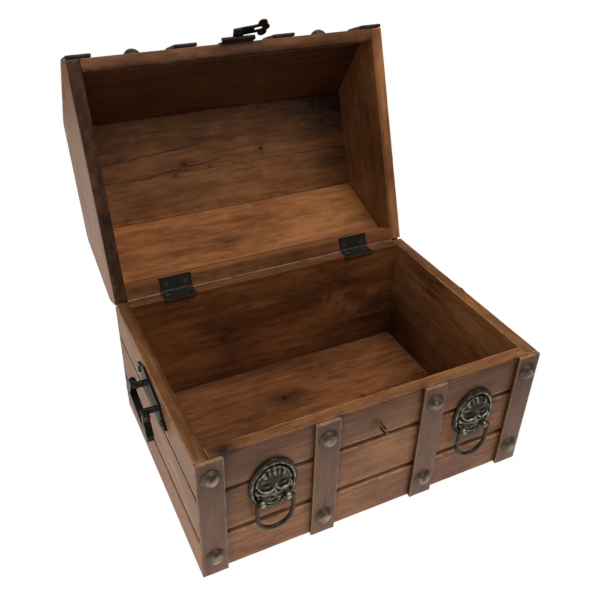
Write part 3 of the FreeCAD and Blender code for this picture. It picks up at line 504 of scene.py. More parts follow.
def board(node, section, axis, start, stop, seed, name=None, body="case", material=CASE_WOOD,
          grain_axis=None, turn=0.0, radius=0.9, segments=2, stains_and_shade=(), amount=1.0):
    """A board with the given cross-section, rounded, cut into small cells and slightly uneven."""
    mesh = bmesh.new()
    prism(mesh, section, start, stop)
    for vert in mesh.verts:
        vert.co = RUNS_ALONG[axis] @ vert.co
    bmesh.ops.recalc_face_normals(mesh, faces=mesh.faces[:])
    if mesh.calc_volume(signed=True) < 0:
        bmesh.ops.reverse_faces(mesh, faces=mesh.faces[:])
    mesh.verts.layers.float.new("wear")
    round_edges(mesh, radius, segments, CELL, EDGE_CELL)
    wood_layers(mesh, axis if grain_axis is None else grain_axis, seed, turn)
    add_stains_and_shade(mesh, stains_and_shade)
    to_rest(mesh, body)
    worn_surface(mesh, seed, amount)
    return finish_mesh(mesh, name or node + "_wood", body, [node], material)


def grooved(low, high, width, lip=0.0):
    """Section of a board with two grooves in its outer face, whose place comes first; lip is a rim burr."""
    (outer, bottom), (inner, top) = low, high
    inward = 1.0 if inner > outer else -1.0
    points = [(inner, bottom), (outer, bottom)]
    for height in GROOVE_HEIGHTS:
        start, stop = height - width / 2, height + width / 2
        points += [(outer, start), (outer + inward * GROOVE_DEPTH, start + GROOVE_TAPER),
                   (outer + inward * GROOVE_DEPTH, stop - GROOVE_TAPER), (outer, stop)]
    if lip:
        points += [(outer, top - 0.4), (outer - inward * lip, top + 2.2 * lip), (outer + inward * 0.6, top)]
    else:
        points += [(outer, top)]
    return points + [(inner, top)]


def flat(low, high):
    """A rectangular section between two corners."""
    return [(low[0], low[1]), (high[0], low[1]), (high[0], high[1]), (low[0], high[1])]


front_low, front_high = box("front_board")
back_low, back_high = box("back_board")
left_low, left_high = box("left_side_board")
right_low, right_high = box("right_side_board")
floor_low, floor_high = box("floor_board")
RIM = front_high.z
FRONT = front_low.y
BACK = back_high.y
HALF_WIDTH = right_high.x
FLOOR = floor_high.z

lion_low, lion_high = box("right_lion_plate")
LION_X = (lion_low.x + lion_high.x) / 2
LION_Z = (lion_low.z + lion_high.z) / 2
LION_HALF_W = (lion_high.x - lion_low.x) / 2
LION_HALF_H = (lion_high.z - lion_low.z) / 2
staple_low, staple_high = box("lock_staple")
STAPLE_X = (staple_low.x + staple_high.x) / 2
STAPLE_Z = (staple_low.z + staple_high.z) / 2

STRAP_NAMES = ("left_corner", "left", "right", "right_corner")


def groove_shade(face_x=0.0, face_y=0.0):
    """Painted shade in both grooves of a board face."""
    radii = (FAR, 2.6, 2.9) if face_y else (2.6, FAR, 2.4)
    return [((face_x, face_y, height), radii, 0.9) for height in GROOVE_HEIGHTS]


def strap_edge_shade(side, face_y):
    """Painted shade on the board along both edges of every strap."""
    edges = [corner.x for name in STRAP_NAMES for corner in box(side + "_strap_" + name)]
    return [((x, face_y, 60), (3.2, 4, FAR), 0.38) for x in edges]


board("front_board", grooved((FRONT, front_low.z), (front_high.y, RIM), FRONT_GROOVE),
      0, front_low.x, front_high.x, 11,
      stains_and_shade=groove_shade(0, FRONT + 1) + strap_edge_shade("front", FRONT) + [
          # Painted shadow on the board round the top of each lion mask.
          ((-LION_X - 9, FRONT, LION_Z + 24), (22, 6, 13), 0.45),
          ((LION_X - 9, FRONT, LION_Z + 24), (22, 6, 12), 0.35),
          ((STAPLE_X - 7, FRONT, STAPLE_Z + 5), (7, 6, 6), 0.5),
          ((-LION_X - 36, FRONT + 4, RIM), (13, 12, 4), 0.85),
          ((-LION_X - 34, FRONT, 76), (16, 6, 34), 0.30),
          ((0, FRONT + 5, RIM), (FAR, 30, 3), 0.12),
          # Painted shade: the front face darker towards its top.
          ((0, FRONT - 1, RIM), (FAR, 3, 32), 0.5)])
board("back_board", grooved((BACK, back_low.z), (back_low.y, back_high.z), FRONT_GROOVE, RIM_LIP),
      0, back_low.x, back_high.x, 12, material=BACK_WOOD, radius=0.06, amount=0.1,
      stains_and_shade=groove_shade(0, BACK - 1) + strap_edge_shade("back", BACK) + [
          # Painted shade low on the inside face, and a painted shadow of the right side board over its right
          # part.
          ((0, back_low.y, 0), (FAR, 4, 30), 0.5),
          ((110, back_low.y, 60), (60, 4, 90), 0.35),
          ((0, 98, RIM), (FAR, 30, 3), 0.4)])
board("left_side_board", grooved((left_low.x, left_low.z), (left_high.x, left_high.z), SIDE_GROOVE),
      1, left_low.y, left_high.y, 13,
      stains_and_shade=groove_shade(1 - HALF_WIDTH) + [
          ((-145, 0, RIM), (30, FAR, 3), 0.30),
          # Painted shade on the inside face.
          ((left_high.x, 0, 60), (4, FAR, FAR), 0.4)])
board("right_side_board", grooved((right_high.x, right_low.z), (right_low.x, right_high.z), SIDE_GROOVE),
      1, right_low.y, right_high.y, 14,
      stains_and_shade=groove_shade(HALF_WIDTH - 1) + [
          ((145, 0, RIM), (30, FAR, 3), 0.15),
          # Painted shade on the inside face.
          ((right_low.x, 0, 20), (4, FAR, 60), 0.5),
          ((right_low.x, 80, 60), (4, 60, FAR), 0.4)])
board("floor_board", flat((floor_low.y, floor_low.z), (floor_high.y, FLOOR)),
      0, floor_low.x, floor_high.x, 15, material=FLOOR_WOOD, radius=0.4,
      # The first two are painted shade on the floor along the back wall and along the left wall.
      stains_and_shade=[((0, 92, FLOOR), (FAR, 22, 8), 0.4), ((-138, 0, FLOOR), (30, FAR, 8), 0.3),
              ((-60, -20, FLOOR), (50, 40, 8), 0.2), ((-12, 41, FLOOR), (24, 14, 8), 0.8)])

for number, name in enumerate(STRAP_NAMES):
    for side, wall_y, face_y, first_seed in (("front", FRONT, FRONT - STRAP, 20),
                                             ("back", BACK, BACK + STRAP, 25)):
        node = side + "_strap_" + name
        low, high = box(node)
        # Painted shade round each nail head; the strap's side faces are made darker.
        nail_shade = [(((low.x + high.x) / 2, face_y, z), (11, 5, 11), 0.4) for z in NAIL_HEIGHTS]
        side_darkening = [((x, wall_y, 60), (1.2, 3.3, FAR), 0.9) for x in (low.x, high.x)]
        board(node, flat((low.x, low.y), (high.x, high.y)), 2, low.z, high.z, first_seed + number,
              material=STRAP_WOOD, radius=0.8, segments=3, stains_and_shade=nail_shade + side_darkening)

# ---- the lid
rail_low, rail_high = closed_box("lid_front_rail")
top_low, top_high = closed_box("lid_top_front_board")
LID_RIM = rail_low.z
SHOULDER = rail_high.z
LID_TOP = top_high.z
TOP_HALF = -top_low.y
HALF_DEPTH = -rail_low.y
DOME = [(-HALF_DEPTH, LID_RIM), (-HALF_DEPTH, SHOULDER), (-TOP_HALF, LID_TOP),
        (TOP_HALF, LID_TOP), (HALF_DEPTH, SHOULDER), (HALF_DEPTH, LID_RIM)]


def offset_dome(distances):
    """Move each dome face outwards by its own distance and return the new corners."""
    lines = []
    for (y0, z0), (y1, z1), distance in zip(DOME[:-1], DOME[1:], distances):
        along = Vector((y1 - y0, z1 - z0)).normalized()
        outward = Vector((-along.y, along.x))
        lines.append((Vector((y0, z0)) + outward * distance, along))
    points = [(lines[0][0].x, LID_RIM)]
    for (p, d), (q, e) in zip(lines[:-1], lines[1:]):
        cross = d.x * e.y - d.y * e.x
        t = ((q.x - p.x) * e.y - (q.y - p.y) * e.x) / cross
        points.append(tuple(p + d * t))
    return points + [(lines[-1][0].x, LID_RIM)]


INSIDE = offset_dome([-RAIL, -PANEL, -PANEL, -PANEL, -RAIL])
STRAPPED = offset_dome([STRAP] * 5)
SLOPE = math.atan2(LID_TOP - SHOULDER, HALF_DEPTH - TOP_HALF)


def slab(index):
    """Section of one of the dome's five flat parts, counted from the front."""
    return [DOME[index], DOME[index + 1], INSIDE[index + 1], INSIDE[index]]


def lowered(points):
    """The back rail's section with its lower outer edge a little longer, which closes the hinge gap."""
    return [points[0], (points[1][0], points[1][1] - HINGE_GAP_LIP)] + points[2:]


def cut_slab(points, low, high):
    """The flat top's section, kept between two Y values."""
    return [(min(max(y, low), high), z) for y, z in points]


def lid_board(node, section, seed, stains_and_shade=(), material=LID_WOOD, radius=0.4, **settings):
    """One board of the lid, with painted shade along the inside corners and a darker line at the seam between
    the top boards.
    """
    low, high = closed_box(node)
    corner_shade_and_seam = [((0, y, z), (FAR, 1.5, 1.5), 0.3) for y, z in INSIDE[1:-1] + [(LID_SEAM_Y, LID_TOP - PANEL)]]
    return board(node, section, 0, low.x, high.x, seed, body="lid", material=material, radius=radius,
                 stains_and_shade=list(stains_and_shade) + corner_shade_and_seam, **settings)


# Painted shade along the lid's rim, which faces the front once the lid is open.
LID_RIM_SHADE = ((0, 0, LID_RIM), (FAR, FAR, 3), 0.5)
# The front rail also gets painted shade on its inside face.
lid_board("lid_front_rail", slab(0), 31, stains_and_shade=[LID_RIM_SHADE, ((0, -92, LID_RIM + 14), (FAR, 4, FAR), 0.5)])
front_slope = lid_board("lid_front_slope", slab(1), 32, turn=-SLOPE)
# The inside face of the front slope takes the shaded copy of the lid wood: painted shade.
front_slope.data.materials.append(LID_SHADED_WOOD)
for face in front_slope.data.polygons:
    if (LID_TO_CLOSED.to_3x3() @ face.normal).z < -0.3:  # only the side inside the lid
        face.material_index = 1
lid_board("lid_top_front_board", cut_slab(slab(2), -HALF_DEPTH, LID_SEAM_Y), 33,
          name="lid_top_front_wood", material=LID_TOP_WOOD,
          # The first two are a painted shadow of the right lid end on the inside.
          stains_and_shade=[((114, -58, 200), (84, 74, 8), 0.78), ((128, -24, 200), (44, 54, 8), 0.35),
                  ((-130, -10, 200), (30, 50, 8), 0.25)])
lid_board("lid_top_rear_board", cut_slab(slab(2), LID_SEAM_Y, HALF_DEPTH), 34,
          name="lid_top_rear_wood", material=LID_TOP_WOOD,
          # The first is a painted shadow of the right lid end on the inside.
          stains_and_shade=[((132, 8, 200), (46, 74, 8), 0.6), ((-30, 30, 200), (60, 10, 8), 0.3)])
lid_board("lid_back_slope", slab(3), 35, turn=SLOPE,
          stains_and_shade=[((-128, 80, 165), (16, 20, 20), 0.4), ((130, 84, 165), (24, 14, 14), 0.3)])
lid_board("lid_back_rail", lowered(slab(4)), 36, stains_and_shade=[LID_RIM_SHADE], radius=0.06, amount=0.1)

# Painted shade along each lid end's rim and on its inside face, with an amount for each end.
for node, seed, rim_shade, inner_face_shade in (("lid_left_end", 37, 0.88, 0.0), ("lid_right_end", 38, 0.0, 0.45)):
    low, high = closed_box(node)
    board(node, DOME, 0, low.x, high.x, seed, body="lid", material=LID_WOOD, grain_axis=1, radius=0.8,
          stains_and_shade=[((0, 0, LID_RIM), (FAR, FAR, 3), rim_shade),
                  ((low.x, 0, LID_RIM + 40), (4, FAR, FAR), inner_face_shade)])


def rounded(points, radius):
    """Replace each inner corner of an open line by a short arc of points."""
    steps = 4
    line = [points[0]]
    for before, corner, after in zip(points[:-2], points[1:-1], points[2:]):
        c = Vector(corner)
        start = c + (Vector(before) - c).normalized() * radius
        stop = c + (Vector(after) - c).normalized() * radius
        for i in range(steps + 1):
            t = i / steps
            line.append(tuple(start * (1 - t) ** 2 + c * 2 * t * (1 - t) + stop * t ** 2))
    return line + [points[-1]]


for number, name in enumerate(STRAP_NAMES):
    node = "lid_strap_" + name
    low, high = closed_box(node)
    back_end = min(p.z for p in closed_points(node) if p.y > HALF_DEPTH - 1)
    outer = rounded(STRAPPED, 4.0)
    inner = rounded(DOME, 2.0)
    outer[-1] = (outer[-1][0], back_end)
    inner[-1] = (inner[-1][0], back_end)
    board(node, outer + inner[::-1], 0, low.x, high.x, 41 + number, body="lid",
          material=STRAP_WOOD, grain_axis=1, radius=1.0, segments=3,
          stains_and_shade=[((0, -HALF_DEPTH - STRAP / 2, LID_RIM), (FAR, 9, 6), 0.95)])


# ---- domed nails
# Distance from the middle and height, as shares of the head's radius and height.
NAIL_PROFILE = [(1.0, 0.0), (1.0, 0.10), (0.975, 0.16), (0.93, 0.22), (0.86, 0.38), (0.74, 0.57),
                (0.58, 0.75), (0.40, 0.89), (0.20, 0.975)]


def nail_head(mesh, base, outward, seed):
    """A hammered dome with a thin rolled brim."""
    wear, hollow = metal_layers(mesh)
    turn = outward.to_track_quat("Z", "Y").to_matrix()
    shift = Vector((seed * 2.3, seed * 4.1, seed * 1.7))

    def point(share, rise, angle):
        spot = Vector((math.cos(angle) * share, math.sin(angle) * share, rise))
        dent = noise.noise(spot * 2.2 + shift) * 0.5 + 0.5 + 0.4 * noise.noise(spot * 6.0 + shift)
        shrink = 1.0 - 0.055 * max(0.0, dent) * (1.0 if rise > 0.12 else 0.35)
        local = Vector((spot.x * NAIL_RADIUS, spot.y * NAIL_RADIUS, rise * NAIL_HEIGHT)) * shrink
        return mesh.verts.new(base + turn @ local)

    rings = []
    for share, rise in NAIL_PROFILE:
        ring = [point(share, rise, angle) for angle in circle(28)]
        for vert in ring:
            vert[wear] = max(0.0, rise * 1.15 - 0.25) if rise > 0.2 else 0.35
            vert[hollow] = 0.9 if rise < 0.05 else 0.0
        rings.append(ring)
    top = point(0.0, 1.0, 0.0)
    top[wear] = 0.9
    join_rings(mesh, rings)
    join_point(mesh, rings[-1], top)
    mesh.faces.new(rings[0][::-1])


def nails(name, node, body, places, seed):
    """One piece with a nail head at each place, which is a base point and an outward direction."""
    mesh = layered()
    for number, (base, outward) in enumerate(places):
        nail_head(mesh, base, outward, seed + number)
    to_rest(mesh, body)
    return finish_mesh(mesh, name, body, [node], NAIL_METAL, smooth=60.0)


STRAP_XS = [(low.x + high.x) / 2 for low, high in (box("front_strap_" + name) for name in STRAP_NAMES)]
nails("front_nail_heads", "front_strap_nails", "case",
      [(Vector((x, FRONT - STRAP, z)), TO_FRONT) for x in STRAP_XS for z in NAIL_HEIGHTS], 50)
nails("back_nail_heads", "back_strap_nails", "case",
      [(Vector((x, BACK + STRAP, z)), TO_BACK) for x in STRAP_XS for z in NAIL_HEIGHTS], 60)

slope_places = []
for index in (1, 3):
    (y0, z0), (y1, z1) = STRAPPED[index], STRAPPED[index + 1]
    outward = Vector((0, -(z1 - z0), y1 - y0)).normalized()
    slope_places += [(Vector((x, (y0 + y1) / 2, (z0 + z1) / 2)), outward) for x in STRAP_XS]
nails("lid_strap_nail_heads", "lid_strap_nails", "lid", slope_places, 70)

bay_low, bay_high = closed_box("lid_bay_nails")
bay_x, bay_z = bay_high.x - NAIL_RADIUS, (bay_low.z + bay_high.z) / 2
nails("lid_bay_nail_heads", "lid_bay_nails", "lid",
      [(Vector((sign * bay_x, -HALF_DEPTH, bay_z)), TO_FRONT) for sign in (-1, 1)], 80)


# ---- small hardware from its own CAD shape
def softened(node, body, material, radius, segments=2, dents=0.0, seed=1):
    """A new mesh with the node's shape, its sharp edges rounded and rubbed."""
    mesh = layered(frame["nodes"][node].data)
    bmesh.ops.remove_doubles(mesh, verts=mesh.verts[:], dist=0.002)
    bmesh.ops.dissolve_limit(mesh, angle_limit=math.radians(1.5), verts=mesh.verts[:], edges=mesh.edges[:])
    round_edges(mesh, radius, segments, spacing=1.6, border=0.5, sharpest=32.0)
    if dents:
        mesh.normal_update()
        shift = Vector((seed * 3.1, seed * 1.3, seed * 2.7))
        for vert in mesh.verts:
            vert.co -= vert.normal * dents * (noise.noise(vert.co * 0.35 + shift) * 0.5 + 0.5)
    return finish_mesh(mesh, node + "_metal", body, [node], material, smooth=48.0)


# After the metal: radius and segments of the rounding, depth of the dents and their seed.
for side in ("left", "right"):
    softened(side + "_hinge_case_leaf", "case", HINGE_METAL, 0.14)
    softened(side + "_hinge_lid_leaf", "lid", HINGE_METAL, 0.14)
    softened(side + "_hinge_pin", "case", PIN_METAL, 0.2)
    softened(side + "_handle_plate", "case", HANDLE_METAL, 0.5, 3, 0.12, 4)
    softened(side + "_bail_handle", side + "_bail", HANDLE_METAL, 1.5, 3, 0.2, 5)
    softened(side + "_handle_pins", "case", PIN_METAL, 0.3)
softened("hasp_plate", "lid", HASP_METAL, 0.25)
softened("hasp_link", "hasp_link", HASP_METAL, 0.2)
softened("hasp_rivet", "hasp_link", PIN_METAL, 0.25)
softened("hasp_leaf", "hasp", HASP_METAL, 0.35, 2, 0.05, 6)
softened("hasp_pin", "lid", PIN_METAL, 0.2)


# ---- wire pieces
def wire(node, body, material, path, radius, seed):
    """A bent wire along a line of points, with closed ends and slight hammering."""
    mesh = layered()
    wear = mesh.verts.layers.float["wear"]
    shift = Vector((seed * 1.1, seed * 2.9, seed * 0.7))
    rings = []
    side_way = None
    for i, here in enumerate(path):
        ahead = path[min(i + 1, len(path) - 1)] - path[max(i - 1, 0)]
        ahead.normalize()
        if side_way is None:
            side_way = ahead.orthogonal().normalized()
        side_way = (side_way - ahead * side_way.dot(ahead)).normalized()
        other = ahead.cross(side_way)
        size = radius * (1.0 - 0.05 * (noise.noise(here * 0.4 + shift) * 0.5 + 0.5))
        ring = []
        for angle in circle(16):
            vert = mesh.verts.new(here + (side_way * math.cos(angle) + other * math.sin(angle)) * size)
            vert[wear] = 0.45 + 0.3 * noise.noise(vert.co * 0.5 + shift)
            ring.append(vert)
        rings.append(ring)
    join_rings(mesh, rings)
    mesh.faces.new(rings[0][::-1])
    mesh.faces.new(rings[-1])
    bmesh.ops.recalc_face_normals(mesh, faces=mesh.faces[:])
    return finish_mesh(mesh, node + "_wire", body, [node], material, smooth=50.0)


def arc(centre, radius, first, last, steps, across):
    """Points on an upright arc; the angles are in degrees from the across direction."""
    points = []
    for i in range(steps + 1):
        angle = math.radians(first + (last - first) * i / steps)
        points.append(centre + across * radius * math.cos(angle) + UP * radius * math.sin(angle))
    return points


STAPLE_RADIUS = 0.9
bend = (staple_high.z - staple_low.z) / 2 - STAPLE_RADIUS
bend_centre = Vector((STAPLE_X, staple_low.y + STAPLE_RADIUS + bend, STAPLE_Z))
staple_path = arc(bend_centre, bend, 90, -90, 12, TO_FRONT)
first_end, last_end = (Vector((STAPLE_X, staple_high.y - 0.3, staple_path[i].z)) for i in (0, -1))
wire("lock_staple", "case", STAPLE_METAL, [first_end] + staple_path + [last_end],
     STAPLE_RADIUS, 3)

RING_RADIUS = 1.8  # thickness of the ring's wire, as a radius
RING_CORNER = 1.6  # bend radius of the ring's small upper corners
RING_INNER = 8.9  # distance of the ring's inturned ends from its middle


def ring_arm(pivot, half, bottom, hand):
    """From the ring's inturned end, round the small upper corner, down to the big bend."""
    corner_centre = Vector((pivot.x + hand * (half - RING_CORNER), pivot.y, pivot.z - RING_CORNER))
    points = [Vector((pivot.x + hand * RING_INNER, pivot.y, pivot.z)),
              Vector((pivot.x + hand * (half - RING_CORNER - 1.5), pivot.y, pivot.z))]
    points += arc(corner_centre, RING_CORNER, 90, 0, 5, TO_RIGHT * hand)
    return points + [Vector((pivot.x + hand * half, pivot.y, bottom + 5))]


for side in ("left", "right"):
    low, high = box(side + "_pull_ring")
    pivot = JOINT_PLACES[side + "_ring"]
    half = (high.x - low.x) / 2 - RING_RADIUS
    bottom = low.z + RING_RADIUS + half
    path = (ring_arm(pivot, half, bottom, -1)
            + arc(Vector((pivot.x, pivot.y, bottom)), half, 180, 360, 30, TO_RIGHT)
            + ring_arm(pivot, half, bottom, 1)[::-1])
    wire(side + "_pull_ring", side + "_ring", RING_METAL, path, RING_RADIUS - 0.02, 7)


# ---- screws and small pins
SLOT_HALF_WIDTH = 0.17  # shares of the head's radius
CROSS_HALF_LENGTH = 0.62


def screw_head(mesh, base, outward, radius, height, slot_turn, cross):
    """A low domed head with a cut slot, or a cross-shaped recess."""
    wear, hollow = metal_layers(mesh)
    turn = outward.to_track_quat("Z", "Y").to_matrix()

    def spot(share, angle):
        x, y = math.cos(angle) * share, math.sin(angle) * share
        u = x * math.cos(slot_turn) + y * math.sin(slot_turn)
        v = -x * math.sin(slot_turn) + y * math.cos(slot_turn)
        in_slot = abs(v) < SLOT_HALF_WIDTH and (not cross or abs(u) < CROSS_HALF_LENGTH)
        in_cross = cross and abs(u) < SLOT_HALF_WIDTH and abs(v) < CROSS_HALF_LENGTH
        deep = in_slot or in_cross
        rise = height * math.sqrt(1.0 - 0.85 * share * share)
        if deep:
            rise = max(0.05, rise - 0.55 * height)
        if share == 1.0:
            rise = -0.2
        vert = mesh.verts.new(base + turn @ Vector((x * radius, y * radius, rise)))
        vert[wear] = 0.0 if deep else 0.35 + 0.5 * (1 - share)
        vert[hollow] = 0.9 if deep or share == 1.0 else 0.0
        return vert

    hub = spot(0.0, 0.0)
    steps = 9
    rings = [[spot(r / steps, angle) for angle in circle(40)] for r in range(1, steps + 1)]
    join_point(mesh, rings[0], hub)
    join_rings(mesh, rings)
    mesh.faces.new(rings[-1][::-1])


def loose_parts(node, turn):
    """Lowest and highest corner of each loose part of a turned node, sorted along X, then Z, then Y."""
    mesh = bmesh.new()
    mesh.from_mesh(frame["nodes"][node].data)
    bmesh.ops.remove_doubles(mesh, verts=mesh.verts[:], dist=0.000002)
    left = set(mesh.verts)
    parts = []
    while left:
        stack = [left.pop()]
        found = []
        while stack:
            vert = stack.pop()
            found.append(turn @ (vert.co / MM))
            for edge in vert.link_edges:
                other = edge.other_vert(vert)
                if other in left:
                    left.remove(other)
                    stack.append(other)
        parts.append(corners(found))
    mesh.free()
    return sorted(parts, key=lambda part: (round(part[0].x), round(part[0].z), round(part[0].y)))


def screws(name, node, body, outward, inset, radius, height, cross):
    """One piece with a head on each loose part of the node, its base inset from the part's outer end."""
    mesh = layered()
    chance = random.Random(len(name))
    axis = next(i for i in range(3) if outward[i])
    for low, high in loose_parts(node, LID_TO_CLOSED if body == "lid" else Matrix.Identity(4)):
        base = (low + high) / 2
        base[axis] = (high if outward[axis] > 0 else low)[axis] - outward[axis] * inset
        screw_head(mesh, base, outward, radius, height, chance.uniform(0, math.pi), cross)
    to_rest(mesh, body)
    bmesh.ops.recalc_face_normals(mesh, faces=mesh.faces[:])
    return finish_mesh(mesh, name, body, [node], PIN_METAL, smooth=50.0)


# Outward direction, inset, radius and height of the heads, and whether their recess is a cross.
screws("case_hinge_screw_heads", "case_hinge_screws", "case", UP, 0.32, 1.85, 0.3, True)
screws("lid_hinge_screw_heads", "lid_hinge_screws", "lid", -UP, 0.32, 1.85, 0.3, True)
screws("hasp_screw_heads", "hasp_screws", "lid", TO_FRONT, 0.9, 2.3, 0.85, False)
screws("left_handle_screw_heads", "left_handle_screws", "case", -TO_RIGHT, 1.6, 2.9, 1.5, False)
screws("right_handle_screw_heads", "right_handle_screws", "case", TO_RIGHT, 1.6, 2.9, 1.5, False)
screws("lion_pin_heads", "lion_plate_nails", "case", TO_FRONT, 0.7, 1.7, 0.7, True)


# ---- lion masks
# Soft swellings of the mask, the same on both sides: height, X and Z of the middle, half sizes, turn.
LION_FEATURES = (
    (1.5, 0.0, 15.2, 1.5, 2.7, 0.0),  # forehead tufts
    (0.8, 3.7, 13.9, 1.1, 2.7, -0.185),
    (1.6, 7.6, 12.3, 1.7, 2.7, -0.38),
    (0.7, 6.4, 7.8, 4.6, 1.7, -0.12),  # brow
    (-0.7, 6.9, 4.8, 3.8, 1.2, 0.0),  # eye socket
    (0.7, 6.9, 2.2, 3.4, 1.8, 0.0),  # upper lid
    (1.9, 0.0, -6.6, 3.4, 2.3, 0.0),  # nose tip
    (-1.3, 2.2, -8.8, 1.1, 0.9, 0.0),  # nostril
    (1.5, 3.6, -11.6, 3.4, 2.6, 0.0),  # muzzle pad
    (-1.5, 4.0, -15.4, 4.6, 1.1, -0.14),  # mouth
    (1.4, 0.0, -18.6, 5.0, 1.9, 0.0),  # chin
)


def bump_at(x, z, centre_x, centre_z, half_x, half_z, turn):
    """A soft swelling, 1 at its middle."""
    dx, dz = x - centre_x, z - centre_z
    c, s = math.cos(turn), math.sin(turn)
    u, v = (c * dx + s * dz) / half_x, (-s * dx + c * dz) / half_z
    return math.exp(-(u * u + v * v))


def ridge(value, centre, width):
    """A soft ridge across a line, 1 where the value is the centre."""
    return math.exp(-((value - centre) / width) ** 2)


def eye_ring(x, z):
    """Distance from the middle of an eye; 1 is the bright crescent under it."""
    return math.hypot((abs(x) - 6.9) / 5.7, (z - 3.6) / 5.4)


def lion_height(x, z):
    """Height of the mask above the board: brim, mane, tufts, sleepy eyes, nose, muzzle and chin."""
    rim = math.hypot(x / LION_HALF_W, z / LION_HALF_H)
    face = math.hypot(x / 15.2, (z + 0.5) / 18.8)
    height = 1.8 + 1.1 * ridge(rim, 0.88, 0.10) - 1.0 * ridge(face, 1.04, 0.06)
    height += 3.5 * math.sqrt(max(0.0, 1.0 - face * face))
    # mane strands down both sides, and an uneven brim
    angle = math.atan2(z + 1.0, abs(x) + 1e-6)
    sides = ridge(face, 0.98, 0.20) * ridge(z, -3.0, 11.0)
    height += sides * (0.2 + math.sin(angle * 11.0 + 4.0 * face))
    height += 0.5 * ridge(rim, 0.90, 0.10) * noise.noise(Vector((x * 0.35, z * 0.35, 5.0)))
    # bright crescent under each eye, with soft folds below it
    eye = eye_ring(x, z)
    below = 1.0 / (1.0 + math.exp((z - 1.0) * 1.3))
    height += below * (2.7 * ridge(eye, 1.0, 0.20) - ridge(eye, 1.38, 0.15) + 0.7 * ridge(eye, 1.80, 0.20))
    # bridge of the nose
    height += 1.9 * ridge(x, 0.0, 2.4) * ridge(z, 1.0, 7.0)
    for strength, *shape in LION_FEATURES:
        height += strength * bump_at(abs(x), z, *shape)
    return height


BOSS_INNER, BOSS_OUTER, BOSS_RADIUS = 8.6, 12.4, 2.8


def boss(mesh, pivot, hand):
    """A rounded lug that holds one end of the ring, standing on the plate."""
    wear = mesh.verts.layers.float["wear"]
    profile = [(BOSS_INNER, 0.82), (BOSS_INNER + 0.5, 1.0), (BOSS_OUTER - 0.7, 1.0),
               (BOSS_OUTER - 0.1, 0.86), (BOSS_OUTER, 0.72)]
    rings = []
    for distance, share in profile:
        ring = []
        for angle in circle(20):
            y = math.cos(angle) * share
            y *= FRONT - pivot.y - 0.5 if y > 0 else BOSS_RADIUS
            z = math.sin(angle) * share * BOSS_RADIUS
            vert = mesh.verts.new((pivot.x + hand * distance, pivot.y + y, pivot.z + z))
            vert[wear] = 0.95 if share > 0.9 and y < 0 else 0.6
            ring.append(vert)
        rings.append(ring)
    join_rings(mesh, rings)
    mesh.faces.new(rings[0])
    mesh.faces.new(rings[-1])


def lion(side, sign):
    """A dense relief in an oval grid, closed behind, with two bosses for the ring."""
    mesh = layered()
    wear, hollow = metal_layers(mesh)
    steps = 58
    centre = Vector((sign * LION_X, FRONT, LION_Z))
    limit = FRONT - lion_low.y

    def raised(x, z):
        grain = 0.10 * noise.noise(Vector((x * 0.9, z * 0.9, sign * 3.0)))
        return min(max(lion_height(x, z) + grain, 0.6), limit)

    def spot(x, z):
        height = raised(x, z)
        near = [raised(x + dx, z + dz) for dx, dz in ((1.1, 0), (-1.1, 0), (0, 1.1), (0, -1.1))]
        proud = height - sum(near) / 4
        # A painted highlight on the crescent under each eye, added to the wear of the proud parts.
        crescent_highlight = ridge(eye_ring(x, z), 0.98, 0.16) * ridge(z, -1.4, 2.6)
        vert = mesh.verts.new(centre + Vector((x, -height, z)))
        vert[wear] = min(1.3, max(0.0, 0.20 + proud * 2.2 + 0.8 * crescent_highlight))
        vert[hollow] = min(1.0, max(0.0, -0.08 - proud * 1.8))
        return vert

    hub = spot(0.0, 0.0)
    rings = [[spot(LION_HALF_W * r / steps * math.cos(angle), LION_HALF_H * r / steps * math.sin(angle))
              for angle in circle(168)] for r in range(1, steps + 1)]
    edge = [mesh.verts.new((vert.co.x, FRONT, vert.co.z)) for vert in rings[-1]]
    for vert in edge:
        vert[hollow] = 0.8
    join_point(mesh, rings[0], hub)
    join_rings(mesh, rings + [edge])
    mesh.faces.new(edge)
    for hand in (-1, 1):
        boss(mesh, JOINT_PLACES[side + "_ring"], hand)
    bmesh.ops.recalc_face_normals(mesh, faces=mesh.faces[:])
    return finish_mesh(mesh, side + "_lion_mask", "case", [side + "_lion_plate"],
                       LION_METAL, smooth=70.0)


lion("left", -1)
lion("right", 1)


# ---- floor, light and camera
def split_camera_rays(tree, output, lighting, seen):
    """Let camera rays see one shader while all other rays meet another."""
    rays = tree.nodes.new("ShaderNodeLightPath")
    choose = tree.nodes.new("ShaderNodeMixShader")
    tree.links.new(rays.outputs["Is Camera Ray"], choose.inputs[0])
    tree.links.new(lighting.outputs[0], choose.inputs[1])
    tree.links.new(seen.outputs[0], choose.inputs[2])
    tree.links.new(choose.outputs[0], tree.nodes[output].inputs[0])


floor_mesh = bmesh.new()
bmesh.ops.create_grid(floor_mesh, x_segments=8, y_segments=8, size=6.0)
floor = new_object("studio_floor", mesh_data(floor_mesh, "studio_floor"))
floor.location = (0.0, 0.0, -0.0004)

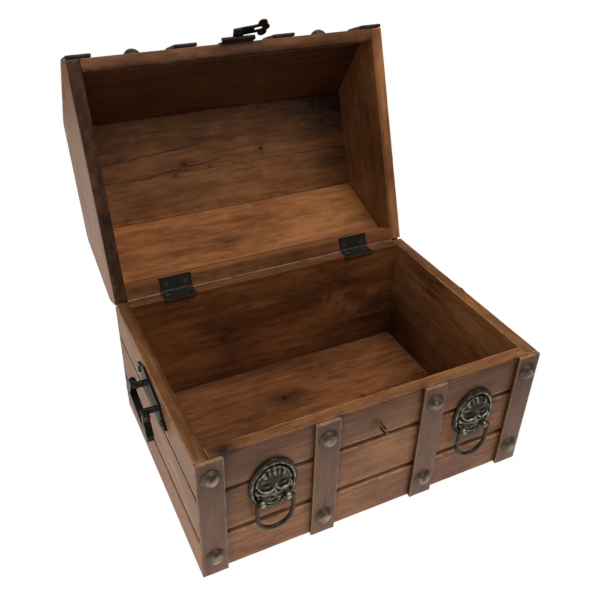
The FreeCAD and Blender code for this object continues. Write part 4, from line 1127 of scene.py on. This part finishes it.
# The floor glows softly round the chest, so that its sides are lit from below as in the photograph.
pale = Shader("pale_floor")
glow = pale.add("ShaderNodeMapRange",
                {"Value": pale.length(pale.moved(pale.place(), (0.22, -0.32, 0.0))),
                 "From Min": 0.52, "From Max": 0.90, "To Min": 0.68, "To Max": 0.05},
                interpolation_type="SMOOTHSTEP").outputs["Result"]
pale.paint(Base_Color=(0.35, 0.35, 0.35, 1.0), Roughness=0.8, Emission_Color=(1.0, 0.955, 0.90, 1.0),
           Emission_Strength=glow)
split_camera_rays(pale.tree, "Material Output", pale.surface, pale.add("ShaderNodeEmission", {}))
floor.data.materials.append(pale.material)

world = bpy.data.worlds.new("studio")
bpy.context.scene.world = world
world.use_nodes = True
backdrop = world.node_tree.nodes["Background"]
backdrop.inputs["Color"].default_value = (1.0, 1.0, 1.0, 1.0)
soft = world.node_tree.nodes.new("ShaderNodeBackground")
soft.inputs["Color"].default_value = (1.0, 0.97, 0.93, 1.0)
soft.inputs["Strength"].default_value = 0.10
split_camera_rays(world.node_tree, "World Output", soft, backdrop)


def area_light(name, place, size, power, colour):
    """A rectangular lamp that points at the chest."""
    light = bpy.data.lights.new(name, "AREA")
    light.shape = "RECTANGLE"
    light.size, light.size_y = size
    light.energy = power
    light.color = colour
    lamp = new_object(name, light)
    lamp.location = place
    lamp.rotation_euler = (Vector((0.0, 0.0, 0.1)) - Vector(place)).to_track_quat("-Z", "Y").to_euler()


area_light("overhead", (0.25, -0.30, 1.25), (0.8, 0.6), 7.5, (1.0, 0.97, 0.93))
area_light("window_left", (-1.3, -0.2, 0.55), (0.9, 0.9), 3.7, (0.84, 0.94, 1.0))

# The camera, solved from the corners of the chest in the photograph.
CAMERA_PLACE = Vector((-0.24291, -0.43506, 0.48542))
CAMERA_TURN = math.radians(-26.2968)
CAMERA_RISE = math.radians(33.6837)
CAMERA_ROLL = 0.02206
view = (Matrix.Translation(CAMERA_PLACE) @ Matrix.Rotation(CAMERA_TURN, 4, "Z")
        @ Matrix.Rotation(math.pi / 2 - CAMERA_RISE, 4, "X") @ Matrix.Rotation(CAMERA_ROLL, 4, "Z"))
lens = bpy.data.cameras.new("photo_camera")
lens.sensor_width = 36.0
lens.lens = 43.095
lens.shift_x = 0.01553
lens.shift_y = -0.0096
camera = new_object("photo_camera", lens)
camera.matrix_world = view
bpy.context.scene.camera = camera
bpy.context.scene.view_settings.view_transform = "Standard"
